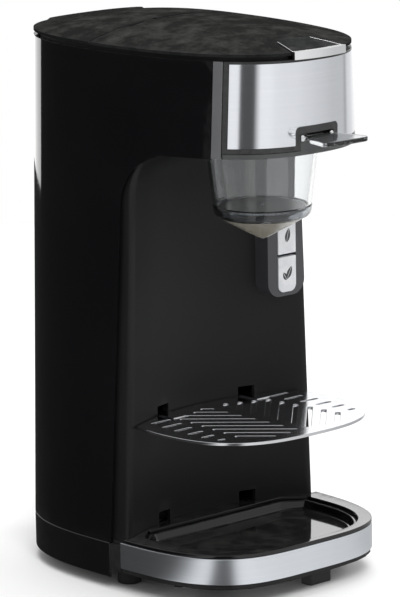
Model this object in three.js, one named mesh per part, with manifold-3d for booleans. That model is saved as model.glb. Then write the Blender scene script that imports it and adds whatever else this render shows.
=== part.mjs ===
// Automatic tea maker: a tall column with a water tank, a heater in its foot, an overhanging head that
// holds a clear pull-out infuser, a slotted cup shelf and a drip tray. Millimetres, +Z up, front is -Y.
import * as THREE from "three";
import { mergeVertices } from "three/addons/utils/BufferGeometryUtils.js";
import Module from "manifold-3d";

const wasm = await Module();
wasm.setup();

// Plan of the body: two half ovals that meet at the widest line. The base and the top have their own.
const baseWidth = 156.2;
const topWidth = 135.4;
const widestLineY = 5.6;
const baseFrontDepth = 108;
const topFrontDepth = 115.1;
const backDepth = 96.8;
const baseFrontPower = 3.61;
const topFrontPower = 2.43;
const backPower = 2.6;
const outlineSteps = 56;

// Clearances
const seatGap = 0.3;
const slideGap = 0.5;
const overrun = 2;

// Heights of the body, from the floor up
const footHeight = 9.5;
const bottomPlateThickness = 1.8;
const skirtDrop = 4.5;
const skirtHeight = 21.1;
const panelSeam = 0.4;
const lowerRimHeight = 2.4;
const bandHeight = 15.5;
const rimThickness = 2.1;
const headGroundClearance = 262;
const headHeight = 55.4;
const lidGroove = 2.6;
const lidEdgeThickness = 1.6;
const lidCrownRise = 9;
const lidCrownPower = 2.3;
const lidCrownThickness = 2.2;

const bottomPlateZ = footHeight + seatGap;
const chassisZ = bottomPlateZ + bottomPlateThickness + seatGap;
const skirtZ = chassisZ - skirtDrop;
const skirtTop = skirtZ + skirtHeight;
const panelZ = skirtTop + panelSeam;
const panelTop = headGroundClearance + headHeight;
const lidZ = panelTop + lidGroove;
const crownZ = lidZ + lidEdgeThickness + lidCrownRise;
const baseFrontY = widestLineY - baseFrontDepth;
const lidFrontY = widestLineY - topFrontDepth;
const backY = widestLineY + backDepth;

// Casing
const panelThickness = 2.2;
const rearPanelWidth = 76;
const panelFrontAtFoot = -10.6;
const panelFrontAtHead = -16.2;
const coveDepth = 40;
const coveHeight = 33;
const coveSteps = 7;
const headPanelShare = 0.7246;
const trimStripWidth = 5.4;
const bottomPlateInset = 6;

// Chassis, band and tray
const bandThickness = 1.6;
const lowerRimInset = 0.6;
const chassisBase = 1.9;
const chassisWall = 3;
const chassisHollowInset = 5;
const bandBackY = -19;
const rearDeckThickness = 2.4;
const baySideMargin = 26.1;
const bayFrontMargin = 3;
const bayBackMargin = 24.4;
const recessSideMargin = 12.1;
const recessCornerSetback = 5;
const recessFrontMargin = 4.9;
const recessPower = 3.2;
const recessSteps = 18;
const recessRearRise = 4.8;
const recessRearStep = 8;
const recessHollowMargin = 17;
const recessDepth = 7.2;
const trayGap = 0.6;
const trayFlange = 1.8;
const trayDraft = 1;
const trayFloor = 2;
const trayBelowRim = 2.2;

// Column front
const coverSideInset = 2.6;
const coverCoveRadius = 26;
const coverTuck = 3;
const coverThickness = 2.5;
const coverLandY = -22;
const coverHollow = 17.5;
const coverLandWidth = 4.1;
const coverCorner = 2.4;
const coverCornerShare = 0.33;
const coverArcSteps = 14;
const stripMargin = 8.1;
const stripDrop = 2.4;

// Buttons and their board
const buttonWidth = 14.4;
const buttonHeight = 21.5;
const buttonInset = 7.4;
const buttonDrop = 101.7;
const buttonSplit = 1.8;
const buttonProud = 0.6;
const buttonCapDepth = 4;
const buttonStemRadius = 2.5;
const buttonCornerRadius = 4.4;
const buttonTravel = 1.3;
const switchDepth = 3.6;
const switchSide = 7;
const boardThickness = 1.6;
const boardWidth = 20;
const boardMargin = 7;
const boardY = -8;
const boardPostRadius = 2.6;

// Head front
const steelThickness = 0.8;
const steelTopMargin = 1.4;
const steelBottomMargin = 6;
const steelSideMargin = 2.6;
const notchHalfWidth = 16.4;
const notchHeight = 16.6;
const notchSideBorder = 3.2;
const notchTopBorder = 4.1;
const notchCorner = 3;
const frameThickness = 3;

// Infuser, hung in a thin drawer under the head
const infuserShare = 0.57863;
const drawerThickness = 2.7;
const drawerSideMargin = 8;
const drawerLip = 2.9;
const drawerRearMargin = 8;
const drawerTongueHeight = 7.7;
const drawerTongueHalf = 12.9;
const drawerTongueDepth = 5;
const chamberTopRadius = 33;
const chamberBottomRadius = 28.7;
const chamberDrop = 35.5;
const chamberWall = 1.8;
const chamberFlange = 3;
const chamberFlangeThickness = 1.2;
const ringRadius = 28.9;
const ringHeight = 6.5;
const ringChamfer = 1.2;
const ringLedge = 2;
const ringSteps = 4;
const filterThickness = 0.8;
const coneRim = 25.4;
const coneDrop = 12.5;
const coneWall = 1.4;
const coneTipRadius = 3;
const coneSteps = 5;
const spoutRadius = 1.7;
const plungerRadius = 1.2;
const plungerNose = 0.6;
const plungerReach = 1;
const plungerHeadRadius = 3.6;
const plungerHeadThickness = 1;
const plungerCone = 1.6;
const plungerShoulder = 0.6;
const plungerSeatShare = 0.86;
const plungerSeatGap = 3.64;
const plungerStemTop = 2;
const roundSides = 32;
const handleThickness = 2.7;
const handleLength = 24.7;
const handleNeck = 0.5;
const handleShoulderHalf = 14.4;
const handleShoulder = 8;
const handleFrontHalf = 17;
const handleRootHalf = 9.6;
const handleCorner = 5;
const handlePinRadius = 1.5;
const handlePinHeight = 4.2;
const handlePinChamfer = 0.8;
const handlePinCrown = 0.2;
const handlePinTopShare = 0.6;
const handlePinMargin = 1;

// Housing over the infuser, and the spray head
const housingWall = 2.2;
const housingHeight = 15.7;
const housingRearRoom = 6;
const sprayRadius = 24;
const sprayHeight = 7;
const sprayPlateDrop = 4;
const sprayBossRadius = 7;
const sprayBossHeight = 8;
const hoseRadius = 3.5;
const nippleRadius = 2.4;
const nippleLength = 8;
const sprayHoleRadius = 1.2;
const sprayHoleRing = 12;
const sprayHoles = 8;

// Deck, lid and rear top cover
const deckInset = 3.4;
const deckWall = 2.2;
const deckDrop = 11.4;
const deckThickness = 2.4;
const basinHalfWidth = 46;
const basinFrontY = -52;
const basinBackY = 44;
const basinDepth = 7;
const drainHalfWidth = 28;
const drainMargin = 8;
const hingeY = 9;
const hingeSink = 2.5;
const knuckleRadius = 2.2;
const knuckleHalf = 9;
const hingeHalf = 18;
const pinRadius = 1;
const pinGap = 0.15;
const lidSeam = 0.7;
const lidRearReach = 2;
const lidRings = 4;
const gripFrontShare = 0.1477;
const gripBackShare = 0.096;
const gripReach = 4;
const gripLipBow = 2.6;
const gripDepth = 27;
const gripLip = 3.2;
const gripDrop = 2.1;
const gripRise = 0.8;
const gripTrimWidth = 1.6;
const gripLipDepth = 2.6;
const ventHalfWidth = 24;
const ventRise = 0.9;
const ventDepth = 36.4;
const ventCorner = 12;

// Tank, heater and hoses
const tankInset = 7;
const tankWall = 2;
const tankFrontGap = 3.5;
const tankHeight = 170;
const outletX = -28;
const outletMargin = 14;
const outletRadius = 2.6;
const outletLength = 10;
const valveRadius = 6.5;
const valveHeight = 16;
const heaterHalf = 28;
const heaterTube = 9;
const heaterFrontY = 30;
const heaterBackMargin = 13;
const heaterBendSteps = 8;
const heaterSteps = 26;
const bracketThickness = 1.5;
const bracketOverlap = 4;
const saddleHeight = 6;
const saddleLength = 12;
const thermostatRadius = 7.5;
const thermostatHeight = 6;
const hoseSides = 8;
const hoseSteps = 28;
const hoseGap = 1.5;
const hoseOverHousing = 14;
const hoseStub = 8;
const hoseBend = 5;
const hoseBendRise = 4;
const hoseBendTop = 18;
const hoseBendShare = 0.32;
const hoseUpperBend = 40;
const hoseUpperEnd = 10;
const hoseDip = 2;
const hoseRuns = [0.25, 0.546, 0.835];
const hoseShares = [0.8, 0.35];
const coldHoseShares = [0.286, 0.62];
const coldHoseDrops = [0.883, 0.571, 0.26];

// Cup shelf and its hook slots
const shelfTop = 98.3;
const shelfThickness = 1.8;
const shelfSideReach = 2;
const shelfStraight = 18;
const shelfFrontY = -105.6;
const shelfPower = 2.8;
const shelfSteps = 18;
const shelfRearMargin = 3.5;
const shelfRearGap = 1;
const hookX = 33.5;
const hookWidth = 10;
const hookSlotHeight = 7.6;
const hookEndY = -3.2;
const hookFrontY = -24;
const hookRise = 0.8;
const lowerSlotZ = 31.5;
const dashPitch = 11.5;
const dashFirstY = -22.7;
const dashWidth = 2.6;
const dashInsets = [20.2, 18.6, 16.8, 16.1, 15.2, 15.4];
const dashLengths = [15.4, 14.8, 13.2, 11.4, 9.2, 5.2];
const veinPitch = 11.83;
const veinFirst = 26.4;
const veinCount = 9;
const veinWidth = 3.1;
const veinInnerX = 4;
const veinOuterX = 30;
const veinOuterShare = 0.094;
const veinFrontMargin = 9;
const veinRearMargin = 12;
const veinTaperShare = 0.72;
const slotEndShare = 0.49;

// Feet, screws and the cord gland
const footRadius = 7;
const sideFootInset = 19.1;
const sideFootY = -5;
const rearFootInset = 36.1;
const rearFootMargin = 32.4;
const frontFootX = 18;
const frontFootMargin = 18.4;
const frontFootWidth = 17;
const frontFootDepth = 9;
const screwRadius = 3;
const screwHead = 1.6;
const screwShank = 1.4;
const screwLength = 7;
const rearScrewInset = 8;
const rearScrewMargin = 14;
const frontScrewInset = 13.6;
const frontScrewMargin = 47.4;
const backScrewInset = 18.1;
const backScrewMargin = 57.4;
const screwPostRadius = 5;
const glandZ = 50;
const glandRadius = 7;
const glandLength = 9;
const cordRadius = 3.4;
const ventSlots = 6;
const ventSlotMargin = 18;
const ventSlotHeight = 2.4;
const ventSlotPitch = 7;
const ventSlotZ = 76;

// Colours, roughness and metalness of each finish
const finishes = {
  glossBlack: { color: 0x0b0b0d, roughness: 0.12, metalness: 0 },
  satinBlack: { color: 0x1c1d1f, roughness: 0.45, metalness: 0 },
  softBlack: { color: 0x2b2c2e, roughness: 0.6, metalness: 0 },
  satinGrey: { color: 0x5a5b5e, roughness: 0.4, metalness: 0.2 },
  steel: { color: 0xc9ccd0, roughness: 0.32, metalness: 1 },
  chrome: { color: 0xe4e6e8, roughness: 0.08, metalness: 1 },
  clear: { color: 0xdde3e6, roughness: 0.05, metalness: 0 },
  pearl: { color: 0xa09c8a, roughness: 0.35, metalness: 0 },
  keys: { color: 0xd4d6da, roughness: 0.35, metalness: 0 },
  rubber: { color: 0x151515, roughness: 0.85, metalness: 0 },
  castAluminium: { color: 0x9a9c9e, roughness: 0.5, metalness: 1 },
  silicone: { color: 0xd8d4c8, roughness: 0.55, metalness: 0 },
  tank: { color: 0xb9c2c8, roughness: 0.25, metalness: 0 },
  board: { color: 0x1d5a38, roughness: 0.5, metalness: 0 },
};

const model = new THREE.Group();

// Turns a closed geometry into a solid, facing out.
function solidOf(geometry) {
  const bare = geometry.index ? geometry.toNonIndexed() : geometry.clone();
  bare.deleteAttribute("normal");
  bare.deleteAttribute("uv");
  const merged = mergeVertices(bare, 1e-4);
  const vertProperties = merged.attributes.position.array;
  const triVerts = new Uint32Array(merged.index.array);
  const made = new wasm.Manifold(new wasm.Mesh({ numProp: 3, vertProperties, triVerts }));
  if (made.volume() > 0) return made;
  const flipped = triVerts.slice().reverse();
  return new wasm.Manifold(new wasm.Mesh({ numProp: 3, vertProperties, triVerts: flipped }));
}

function addNode(name, solid, finish) {
  const mesh = solid.getMesh();
  const count = mesh.numVert;
  const points = new Float32Array(count * 3);
  for (let i = 0; i < count; i++) {
    points.set(mesh.vertProperties.subarray(i * mesh.numProp, i * mesh.numProp + 3), i * 3);
  }
  const geometry = new THREE.BufferGeometry();
  geometry.setAttribute("position", new THREE.BufferAttribute(points, 3));
  geometry.setIndex(new THREE.BufferAttribute(new Uint32Array(mesh.triVerts), 1));
  const node = new THREE.Mesh(geometry, new THREE.MeshStandardMaterial(finishes[finish]));
  node.name = name;
  model.add(node);
  return solid;
}

function block(x0, x1, y0, y1, z0, z1) {
  const geometry = new THREE.BoxGeometry(x1 - x0, y1 - y0, z1 - z0);
  geometry.translate((x0 + x1) / 2, (y0 + y1) / 2, (z0 + z1) / 2);
  return solidOf(geometry);
}

// A block centred on x = 0
function slab(halfWidth, y0, y1, z0, z1) {
  return block(-halfWidth, halfWidth, y0, y1, z0, z1);
}

function rod(radius, z0, z1, x, y, sides = roundSides) {
  const geometry = new THREE.CylinderGeometry(radius, radius, z1 - z0, sides);
  geometry.rotateX(Math.PI / 2);
  geometry.translate(x, y, (z0 + z1) / 2);
  return solidOf(geometry);
}

function rodAlongX(radius, x0, x1, y, z, sides = 24) {
  const geometry = new THREE.CylinderGeometry(radius, radius, x1 - x0, sides);
  geometry.rotateZ(Math.PI / 2);
  geometry.translate((x0 + x1) / 2, y, z);
  return solidOf(geometry);
}

function rodAlongY(radius, y0, y1, x, z, sides = 24) {
  const geometry = new THREE.CylinderGeometry(radius, radius, y1 - y0, sides);
  geometry.translate(x, (y0 + y1) / 2, z);
  return solidOf(geometry);
}

// Turned piece: profile points are [radius, z], closed on the axis or on themselves.
function turned(profile, x, y, sides = roundSides) {
  const points = profile.map(([radius, z]) => new THREE.Vector2(radius, z));
  const geometry = new THREE.LatheGeometry(points, sides);
  geometry.rotateX(Math.PI / 2);
  geometry.translate(x, y, 0);
  return solidOf(geometry);
}

function shapeOf(points) {
  return new THREE.Shape(points.map(([x, y]) => new THREE.Vector2(x, y)));
}

// Plan outline raised from z0 to z1
function plate(points, z0, z1) {
  const geometry = new THREE.ExtrudeGeometry(shapeOf(points), { depth: z1 - z0, bevelEnabled: false });
  geometry.translate(0, 0, z0);
  return solidOf(geometry);
}

// Outline in Y and Z, carried along X
function profileAlongX(points, x0, x1) {
  const geometry = new THREE.ExtrudeGeometry(shapeOf(points), { depth: x1 - x0, bevelEnabled: false });
  const turn = new THREE.Matrix4().makeBasis(
    new THREE.Vector3(0, 1, 0),
    new THREE.Vector3(0, 0, 1),
    new THREE.Vector3(1, 0, 0),
  );
  geometry.applyMatrix4(turn);
  geometry.translate(x0, 0, 0);
  return solidOf(geometry);
}

// Outline in X and Z, carried along Y
function profileAlongY(points, y0, y1) {
  const geometry = new THREE.ExtrudeGeometry(shapeOf(points), { depth: y1 - y0, bevelEnabled: false });
  geometry.rotateX(Math.PI / 2);
  geometry.translate(0, y1, 0);
  return solidOf(geometry);
}

// Skins a stack of rings, each a list of [x, y, z] with the same number of points, and closes both ends.
function skinned(rings) {
  const count = rings[0].length;
  const positions = rings.flat(2);
  const index = [];
  for (let r = 0; r + 1 < rings.length; r++) {
    for (let i = 0; i < count; i++) {
      const a = r * count + i;
      const b = r * count + ((i + 1) % count);
      index.push(a, b, b + count, a, b + count, a + count);
    }
  }
  const last = (rings.length - 1) * count;
  const bottomFaces = THREE.ShapeUtils.triangulateShape(flat(rings[0]), []);
  const topFaces = THREE.ShapeUtils.triangulateShape(flat(rings.at(-1)), []);
  bottomFaces.forEach(([a, b, c]) => index.push(a, c, b));
  topFaces.forEach(([a, b, c]) => index.push(last + a, last + b, last + c));
  const geometry = new THREE.BufferGeometry();
  geometry.setAttribute("position", new THREE.Float32BufferAttribute(positions, 3));
  geometry.setIndex(index);
  return solidOf(geometry);
}

function flat(ring) {
  return ring.map(([x, y]) => new THREE.Vector2(x, y));
}

function joined(...solids) {
  return solids.reduce((whole, next) => whole.add(next));
}

function cut(whole, ...tools) {
  return tools.reduce((left, tool) => left.subtract(tool), whole);
}

function mix(from, to, share) {
  return from + (to - from) * share;
}

// Point of a half oval at an angle, drawn in by an inset
function ovalPoint(angle, halfWidth, front, back, frontPower, inset) {
  const c = Math.cos(angle);
  const s = Math.sin(angle);
  const power = s < 0 ? frontPower : backPower;
  const depth = (s < 0 ? front : back) - inset;
  const reach = (Math.abs(c) ** power + Math.abs(s) ** power) ** (-1 / power);
  return [(halfWidth - inset) * reach * c, widestLineY + depth * reach * s];
}

// Body outline at a height: the base's form blends into the top's from the skirt to the panel's top.
function bodyOutline(z, inset = 0) {
  const share = Math.min(1, Math.max(0, (z - skirtTop) / (panelTop - skirtTop)));
  return Array.from({ length: outlineSteps }, (unused, i) => {
    const angle = (2 * Math.PI * i) / outlineSteps;
    const low = ovalPoint(angle, baseWidth / 2, baseFrontDepth, backDepth, baseFrontPower, inset);
    const high = ovalPoint(angle, topWidth / 2, topFrontDepth, backDepth, topFrontPower, inset);
    return [mix(low[0], high[0], share), mix(low[1], high[1], share)];
  });
}

function bodyBlock(z0, z1, inset = 0) {
  const levels = [z0, z1];
  if (z0 < skirtTop && z1 > skirtTop) levels.splice(1, 0, skirtTop);
  if (z0 < panelTop && z1 > panelTop) levels.splice(-1, 0, panelTop);
  return skinned(levels.map((z) => bodyOutline(z, inset).map(([x, y]) => [x, y, z])));
}

function bodyShell(z0, z1, outer, inner) {
  return bodyBlock(z0, z1, outer).subtract(bodyBlock(z0 - overrun, z1 + overrun, inner));
}

// The whole body's plan is wider than this on every side.
const wide = baseWidth;
const deep = topFrontDepth + backDepth;

function behind(y, z0, z1) {
  return slab(wide, y, y + 2 * deep, z0 - overrun, z1 + overrun);
}

function ahead(y, z0, z1) {
  return slab(wide, y - 2 * deep, y, z0 - overrun, z1 + overrun);
}

// Front edge of the side panels, seen from the side: the column's edge, a cove, then the head's underside.
function panelEdgeY(z) {
  return mix(panelFrontAtFoot, panelFrontAtHead, (z - panelZ) / (coveZ - panelZ));
}

const coveZ = headGroundClearance - coveHeight;
const coverCoveZ = headGroundClearance - coverCoveRadius;

function coveReach(z) {
  return coveDepth * quarterRound((z - coveZ) / coveHeight);
}

// How far a quarter round has come forward, as a share, at a share of its height
function quarterRound(share) {
  const rise = Math.min(1, Math.max(0, share));
  return 1 - Math.sqrt(1 - rise * rise);
}

// Levels of a quarter round, close together where it turns fastest
function roundLevels(startZ, height) {
  return Array.from({ length: coveSteps + 1 }, (unused, i) => {
    return startZ + height * Math.sin((Math.PI * i) / (2 * coveSteps));
  });
}

function panelRegion(frontY) {
  const cove = roundLevels(coveZ, coveHeight).map((z) => [panelFrontAtHead - coveReach(z), z]);
  const outline = [
    [panelEdgeY(panelZ), panelZ],
    ...cove,
    [frontY, headGroundClearance],
    [frontY, panelTop],
    [deep, panelTop],
    [deep, panelZ],
  ];
  return profileAlongX(outline, -wide, wide);
}

// Half width of the column's hollow face at a height
function hollowHalf(z) {
  return coverHalfWidth(z) - coverLandWidth;
}

// Hollow front of the column, in plan
function hollowY(x, z) {
  const share = Math.min(1, Math.abs(x) / hollowHalf(z));
  return coverLandY + coverHollow * (1 - share * share);
}

function coverHalfWidth(z) {
  const share = Math.max(0, (z - skirtTop) / (panelTop - skirtTop));
  return mix(baseWidth, topWidth, share) / 2 - coverSideInset;
}

function hollowPath(fromX, toX, z, shift) {
  return Array.from({ length: coverArcSteps + 1 }, (unused, i) => {
    const x = mix(fromX, toX, i / coverArcSteps);
    return [x, hollowY(x, z) + shift];
  });
}

// Outer line of the column cover in plan, left to right; the upper part carries the flat control strip.
function coverFront(z, grow, withStrip) {
  const half = coverHalfWidth(z) + grow;
  const land = coverLandY - grow;
  const left = [
    [-half, land + coverCorner],
    [-half + coverCorner * coverCornerShare, land + coverCorner * coverCornerShare],
    [-half + coverCorner, land],
  ];
  const right = left.map(([x, y]) => [-x, y]).reverse();
  const strip = [
    [stripLeftX, hollowY(stripLeftX, z) - grow],
    [stripLeftX, land],
  ];
  const arc = withStrip
    ? [...hollowPath(-hollowHalf(z), stripLeftX, z, -grow).slice(0, -1), ...strip]
    : hollowPath(-hollowHalf(z), hollowHalf(z), z, -grow);
  return [...left, ...arc, ...right];
}

function coverRing(z, withStrip) {
  const half = coverHalfWidth(z);
  const back = panelEdgeY(Math.min(z, coverCoveZ)) + coverTuck;
  const reach = coverCoveRadius * quarterRound((z - coverCoveZ) / coverCoveRadius);
  const front = [[-half, back], ...coverFront(z, 0, withStrip), [half, back]];
  const inner = [
    [half - coverThickness, back],
    [half - coverThickness, coverLandY + coverThickness],
    ...hollowPath(hollowHalf(z), -hollowHalf(z), z, coverThickness),
    [-half + coverThickness, coverLandY + coverThickness],
    [-half + coverThickness, back],
  ];
  return [...front, ...inner].map(([x, y]) => [x, y - reach, z]);
}

// Places shared by several pieces
const bandZ = chassisZ + chassisBase + lowerRimHeight - bandThickness;
const bandTop = bandZ + bandHeight;
const deckLevel = bandTop;
const rimZ = bandTop + seatGap;
const rimTop = rimZ + rimThickness;
const chassisInset = bandThickness + seatGap;
const recessZ = rimTop - recessDepth - trayBelowRim;
const steelZ = headGroundClearance + steelBottomMargin;
const steelTopZ = panelTop - steelTopMargin;
const headPanelFront = widestLineY - topFrontDepth * headPanelShare;
const trimFrontY = headPanelFront - trimStripWidth;
const frameBackY = trimFrontY - seatGap;
const steelBackY = frameBackY - steelSideMargin;
const infuserY = widestLineY - topFrontDepth * infuserShare;
const drawerHalfWidth = chamberTopRadius + chamberFlange + drawerSideMargin;
const drawerBackY = infuserY + chamberTopRadius + drawerRearMargin;
const housingFrontY = frameBackY + slideGap;
const housingBackY = drawerBackY + housingRearRoom;
const handleFrontY = lidFrontY - handleLength;
const drawerTop = headGroundClearance + drawerThickness;
const frameZ = drawerTop + seatGap;
const tongueTop = headGroundClearance + drawerTongueHeight;
const handleZ = tongueTop + seatGap;
const flangeTop = drawerTop - seatGap / 3;
const chamberTop = flangeTop - chamberFlangeThickness;
const chamberBottom = headGroundClearance - chamberDrop;
const ringTop = chamberBottom - seatGap;
const ringBottom = ringTop - ringHeight;
const coneTop = ringBottom - seatGap;
const coneTip = coneTop - coneDrop;
const housingTop = headGroundClearance + housingHeight;
const hingeZ = crownZ - hingeSink;
const gripHalfFront = topWidth * gripFrontShare;
const gripHalfBack = topWidth * gripBackShare;
const shelfZ = shelfTop - shelfThickness;
const buttonLowZ = headGroundClearance - buttonDrop;
const stripBottomZ = buttonLowZ - stripDrop;
const buttonHighZ = buttonLowZ + buttonHeight + buttonSplit;
const deckZ = panelTop - deckDrop;
const tankTop = deckZ - basinDepth - seatGap;
const tankZ = tankTop - tankHeight;
const heaterZ = skirtTop + seatGap + bracketThickness + saddleHeight + heaterTube + seatGap;
const sprayZ = housingTop - sprayPlateDrop;
const sprayTop = sprayZ + sprayHeight;
const hoseZ = sprayTop + sprayBossHeight / 2;
const narrowHollowHalf = Math.min(hollowHalf(rimZ), hollowHalf(headGroundClearance));
const buttonX = narrowHollowHalf - buttonInset;
const stripLeftX = buttonX - buttonWidth / 2 - stripMargin;
const recessHalfWidth = baseWidth / 2 - recessSideMargin;
const recessRearHalf = Math.min(recessHalfWidth - recessRearStep, hollowHalf(rimZ) - recessHollowMargin);
const recessRearY = coverLandY + recessRearRise;
const recessCornerY = coverLandY - recessCornerSetback;
const recessFrontY = baseFrontY + recessFrontMargin;
const bayHalfWidth = baseWidth / 2 - baySideMargin;
const columnBackY = coverLandY + coverHollow + coverThickness;
const hoseColumnY = Math.max(columnBackY + hoseGap + hoseRadius, housingBackY + hoseOverHousing);
const tankFrontY = hoseColumnY + hoseRadius + tankFrontGap;
const outletY = tankFrontY + outletMargin;
const bayFrontY = hoseColumnY + bayFrontMargin;
const bayBackY = backY - bayBackMargin;
const shelfRearHalf = hollowHalf(shelfZ) - shelfRearMargin;
const shelfHalfWidth = shelfRearHalf + shelfSideReach;
const shelfMiddleY = coverLandY - shelfStraight;

// Rounded front of a plate, from its left end to its right end
function roundedFront(half, middleY, frontY, power, steps) {
  const bent = (value) => Math.sign(value) * Math.abs(value) ** (2 / power);
  const points = Array.from({ length: steps + 1 }, (unused, i) => {
    const angle = Math.PI + (Math.PI * i) / steps;
    return [half * bent(Math.cos(angle)), middleY + (middleY - frontY) * bent(Math.sin(angle))];
  });
  points[0] = [-half, middleY];
  points[steps] = [half, middleY];
  return points;
}

// Outline of the tray's recess: a rounded front, and a straight rear edge in front of the column
function recessOutline(inset) {
  const half = recessHalfWidth - inset;
  const front = roundedFront(half, recessCornerY, recessFrontY + inset, recessPower, recessSteps);
  const rearHalf = recessRearHalf - inset;
  return [...front, [rearHalf, recessRearY - inset], [-rearHalf, recessRearY - inset]];
}

function makeFeet() {
  const sideX = baseWidth / 2 - sideFootInset;
  const rearX = baseWidth / 2 - rearFootInset;
  const rearY = backY - rearFootMargin;
  const places = {
    foot_left: [-sideX, sideFootY],
    foot_right: [sideX, sideFootY],
    foot_rear_left: [-rearX, rearY],
    foot_rear_right: [rearX, rearY],
  };
  for (const [name, [x, y]] of Object.entries(places)) {
    addNode(name, rod(footRadius, 0, footHeight, x, y, 24), "rubber");
  }
  const x0 = frontFootX - frontFootWidth / 2;
  const y0 = baseFrontY + frontFootMargin - frontFootDepth / 2;
  const pad = block(x0, x0 + frontFootWidth, y0, y0 + frontFootDepth, 0, footHeight);
  addNode("foot_front", pad, "rubber");
}

function baseScrewPlaces() {
  const frontX = baseWidth / 2 - frontScrewInset;
  const frontY = baseFrontY + frontScrewMargin;
  const rearX = baseWidth / 2 - backScrewInset;
  const rearY = backY - backScrewMargin;
  return [
    [-frontX, frontY],
    [frontX, frontY],
    [-rearX, rearY],
    [rearX, rearY],
  ];
}

function screwHoles(z0, z1) {
  return baseScrewPlaces().map(([x, y]) => rod(screwShank + seatGap, z0, z1, x, y, 12));
}

function makeBase() {
  const outline = bodyOutline(0, bottomPlateInset);
  const bottom = plate(outline, bottomPlateZ, bottomPlateZ + bottomPlateThickness);
  addNode("bottom_plate", cut(bottom, ...screwHoles(0, chassisZ)), "softBlack");

  const rimBottom = chassisZ + chassisBase - bandThickness;
  const step = bodyBlock(chassisZ, rimBottom + seatGap, bottomPlateInset);
  const tub = bodyBlock(rimBottom, deckLevel, chassisInset);
  const lowerRim = bodyBlock(rimBottom, bandZ - seatGap, lowerRimInset).intersect(
    ahead(bandBackY, rimBottom, bandZ),
  );
  const pillarFront = bandBackY + seatGap;
  const pillarBack = panelFrontAtFoot + slideGap;
  const pillars = bodyBlock(rimBottom, deckLevel - rimThickness, seatGap).intersect(
    slab(wide, pillarFront, pillarBack, 0, deckLevel),
  );
  const rearTop = behind(panelFrontAtFoot - slideGap, skirtTop, skirtTop).intersect(
    slab(wide, -deep, deep, skirtTop, skirtTop + deep),
  );
  const bay = slab(bayHalfWidth, bayFrontY, bayBackY, 0, deckLevel + overrun);
  const hollowTop = skirtTop - rearDeckThickness;
  const rearHollow = bodyBlock(0, hollowTop, bottomPlateInset + chassisWall).intersect(
    behind(bayFrontY, 0, skirtTop),
  );
  const posts = baseScrewPlaces()
    .slice(2)
    .map(([x, y]) => rod(screwPostRadius, chassisZ, skirtTop, x, y, 16));
  const holes = screwHoles(chassisZ - overrun, chassisZ + screwLength - bottomPlateThickness);
  const frontHollow = plate(recessOutline(chassisHollowInset), 0, recessZ - chassisWall);
  const recess = plate(recessOutline(0), recessZ, deckLevel + overrun);
  const solid = joined(step, tub, lowerRim, pillars);
  const hollowed = cut(solid, rearTop, bay, rearHollow, frontHollow, recess);
  addNode("base_chassis", cut(joined(hollowed, ...posts), ...holes), "satinBlack");

  const skirtFront = panelFrontAtFoot + slideGap + seatGap;
  const skirt = bodyShell(skirtZ, skirtTop, 0, bandThickness).intersect(behind(skirtFront, 0, skirtTop));
  addNode("rear_skirt", skirt, "glossBlack");

  const band = bodyShell(bandZ, bandTop, 0, bandThickness).intersect(ahead(bandBackY, 0, bandTop));
  addNode("base_trim_band", band, "steel");

  const columnFoot = [
    [-coverHalfWidth(rimZ) - seatGap, deep],
    ...coverFront(rimZ, seatGap, false),
    [coverHalfWidth(rimZ) + seatGap, deep],
  ];
  const rim = cut(
    bodyBlock(rimZ, rimTop).intersect(ahead(coverLandY + coverHollow, rimZ, rimTop)),
    plate(recessOutline(0), 0, rimTop + overrun),
    plate(columnFoot, 0, rimTop + overrun),
    behind(coverLandY - seatGap, rimZ, rimTop).intersect(
      cut(slab(wide, -deep, deep, 0, panelTop), slab(recessHalfWidth, -deep, deep, -overrun, 2 * panelTop)),
    ),
  );
  addNode("base_rim", rim, "glossBlack");
}

function makeTray() {
  const z0 = recessZ + seatGap;
  const z1 = rimTop - trayBelowRim;
  const outer = plate(recessOutline(trayGap), z0, z1);
  const floorZ = z0 + trayFloor;
  const topRing = recessOutline(trayGap + trayFlange).map(([x, y]) => [x, y, z1 + overrun]);
  const lowRing = recessOutline(trayGap + trayFlange + trayDraft).map(([x, y]) => [x, y, floorZ]);
  addNode("drip_tray", outer.subtract(skinned([lowRing, topRing])), "glossBlack");
}

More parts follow.
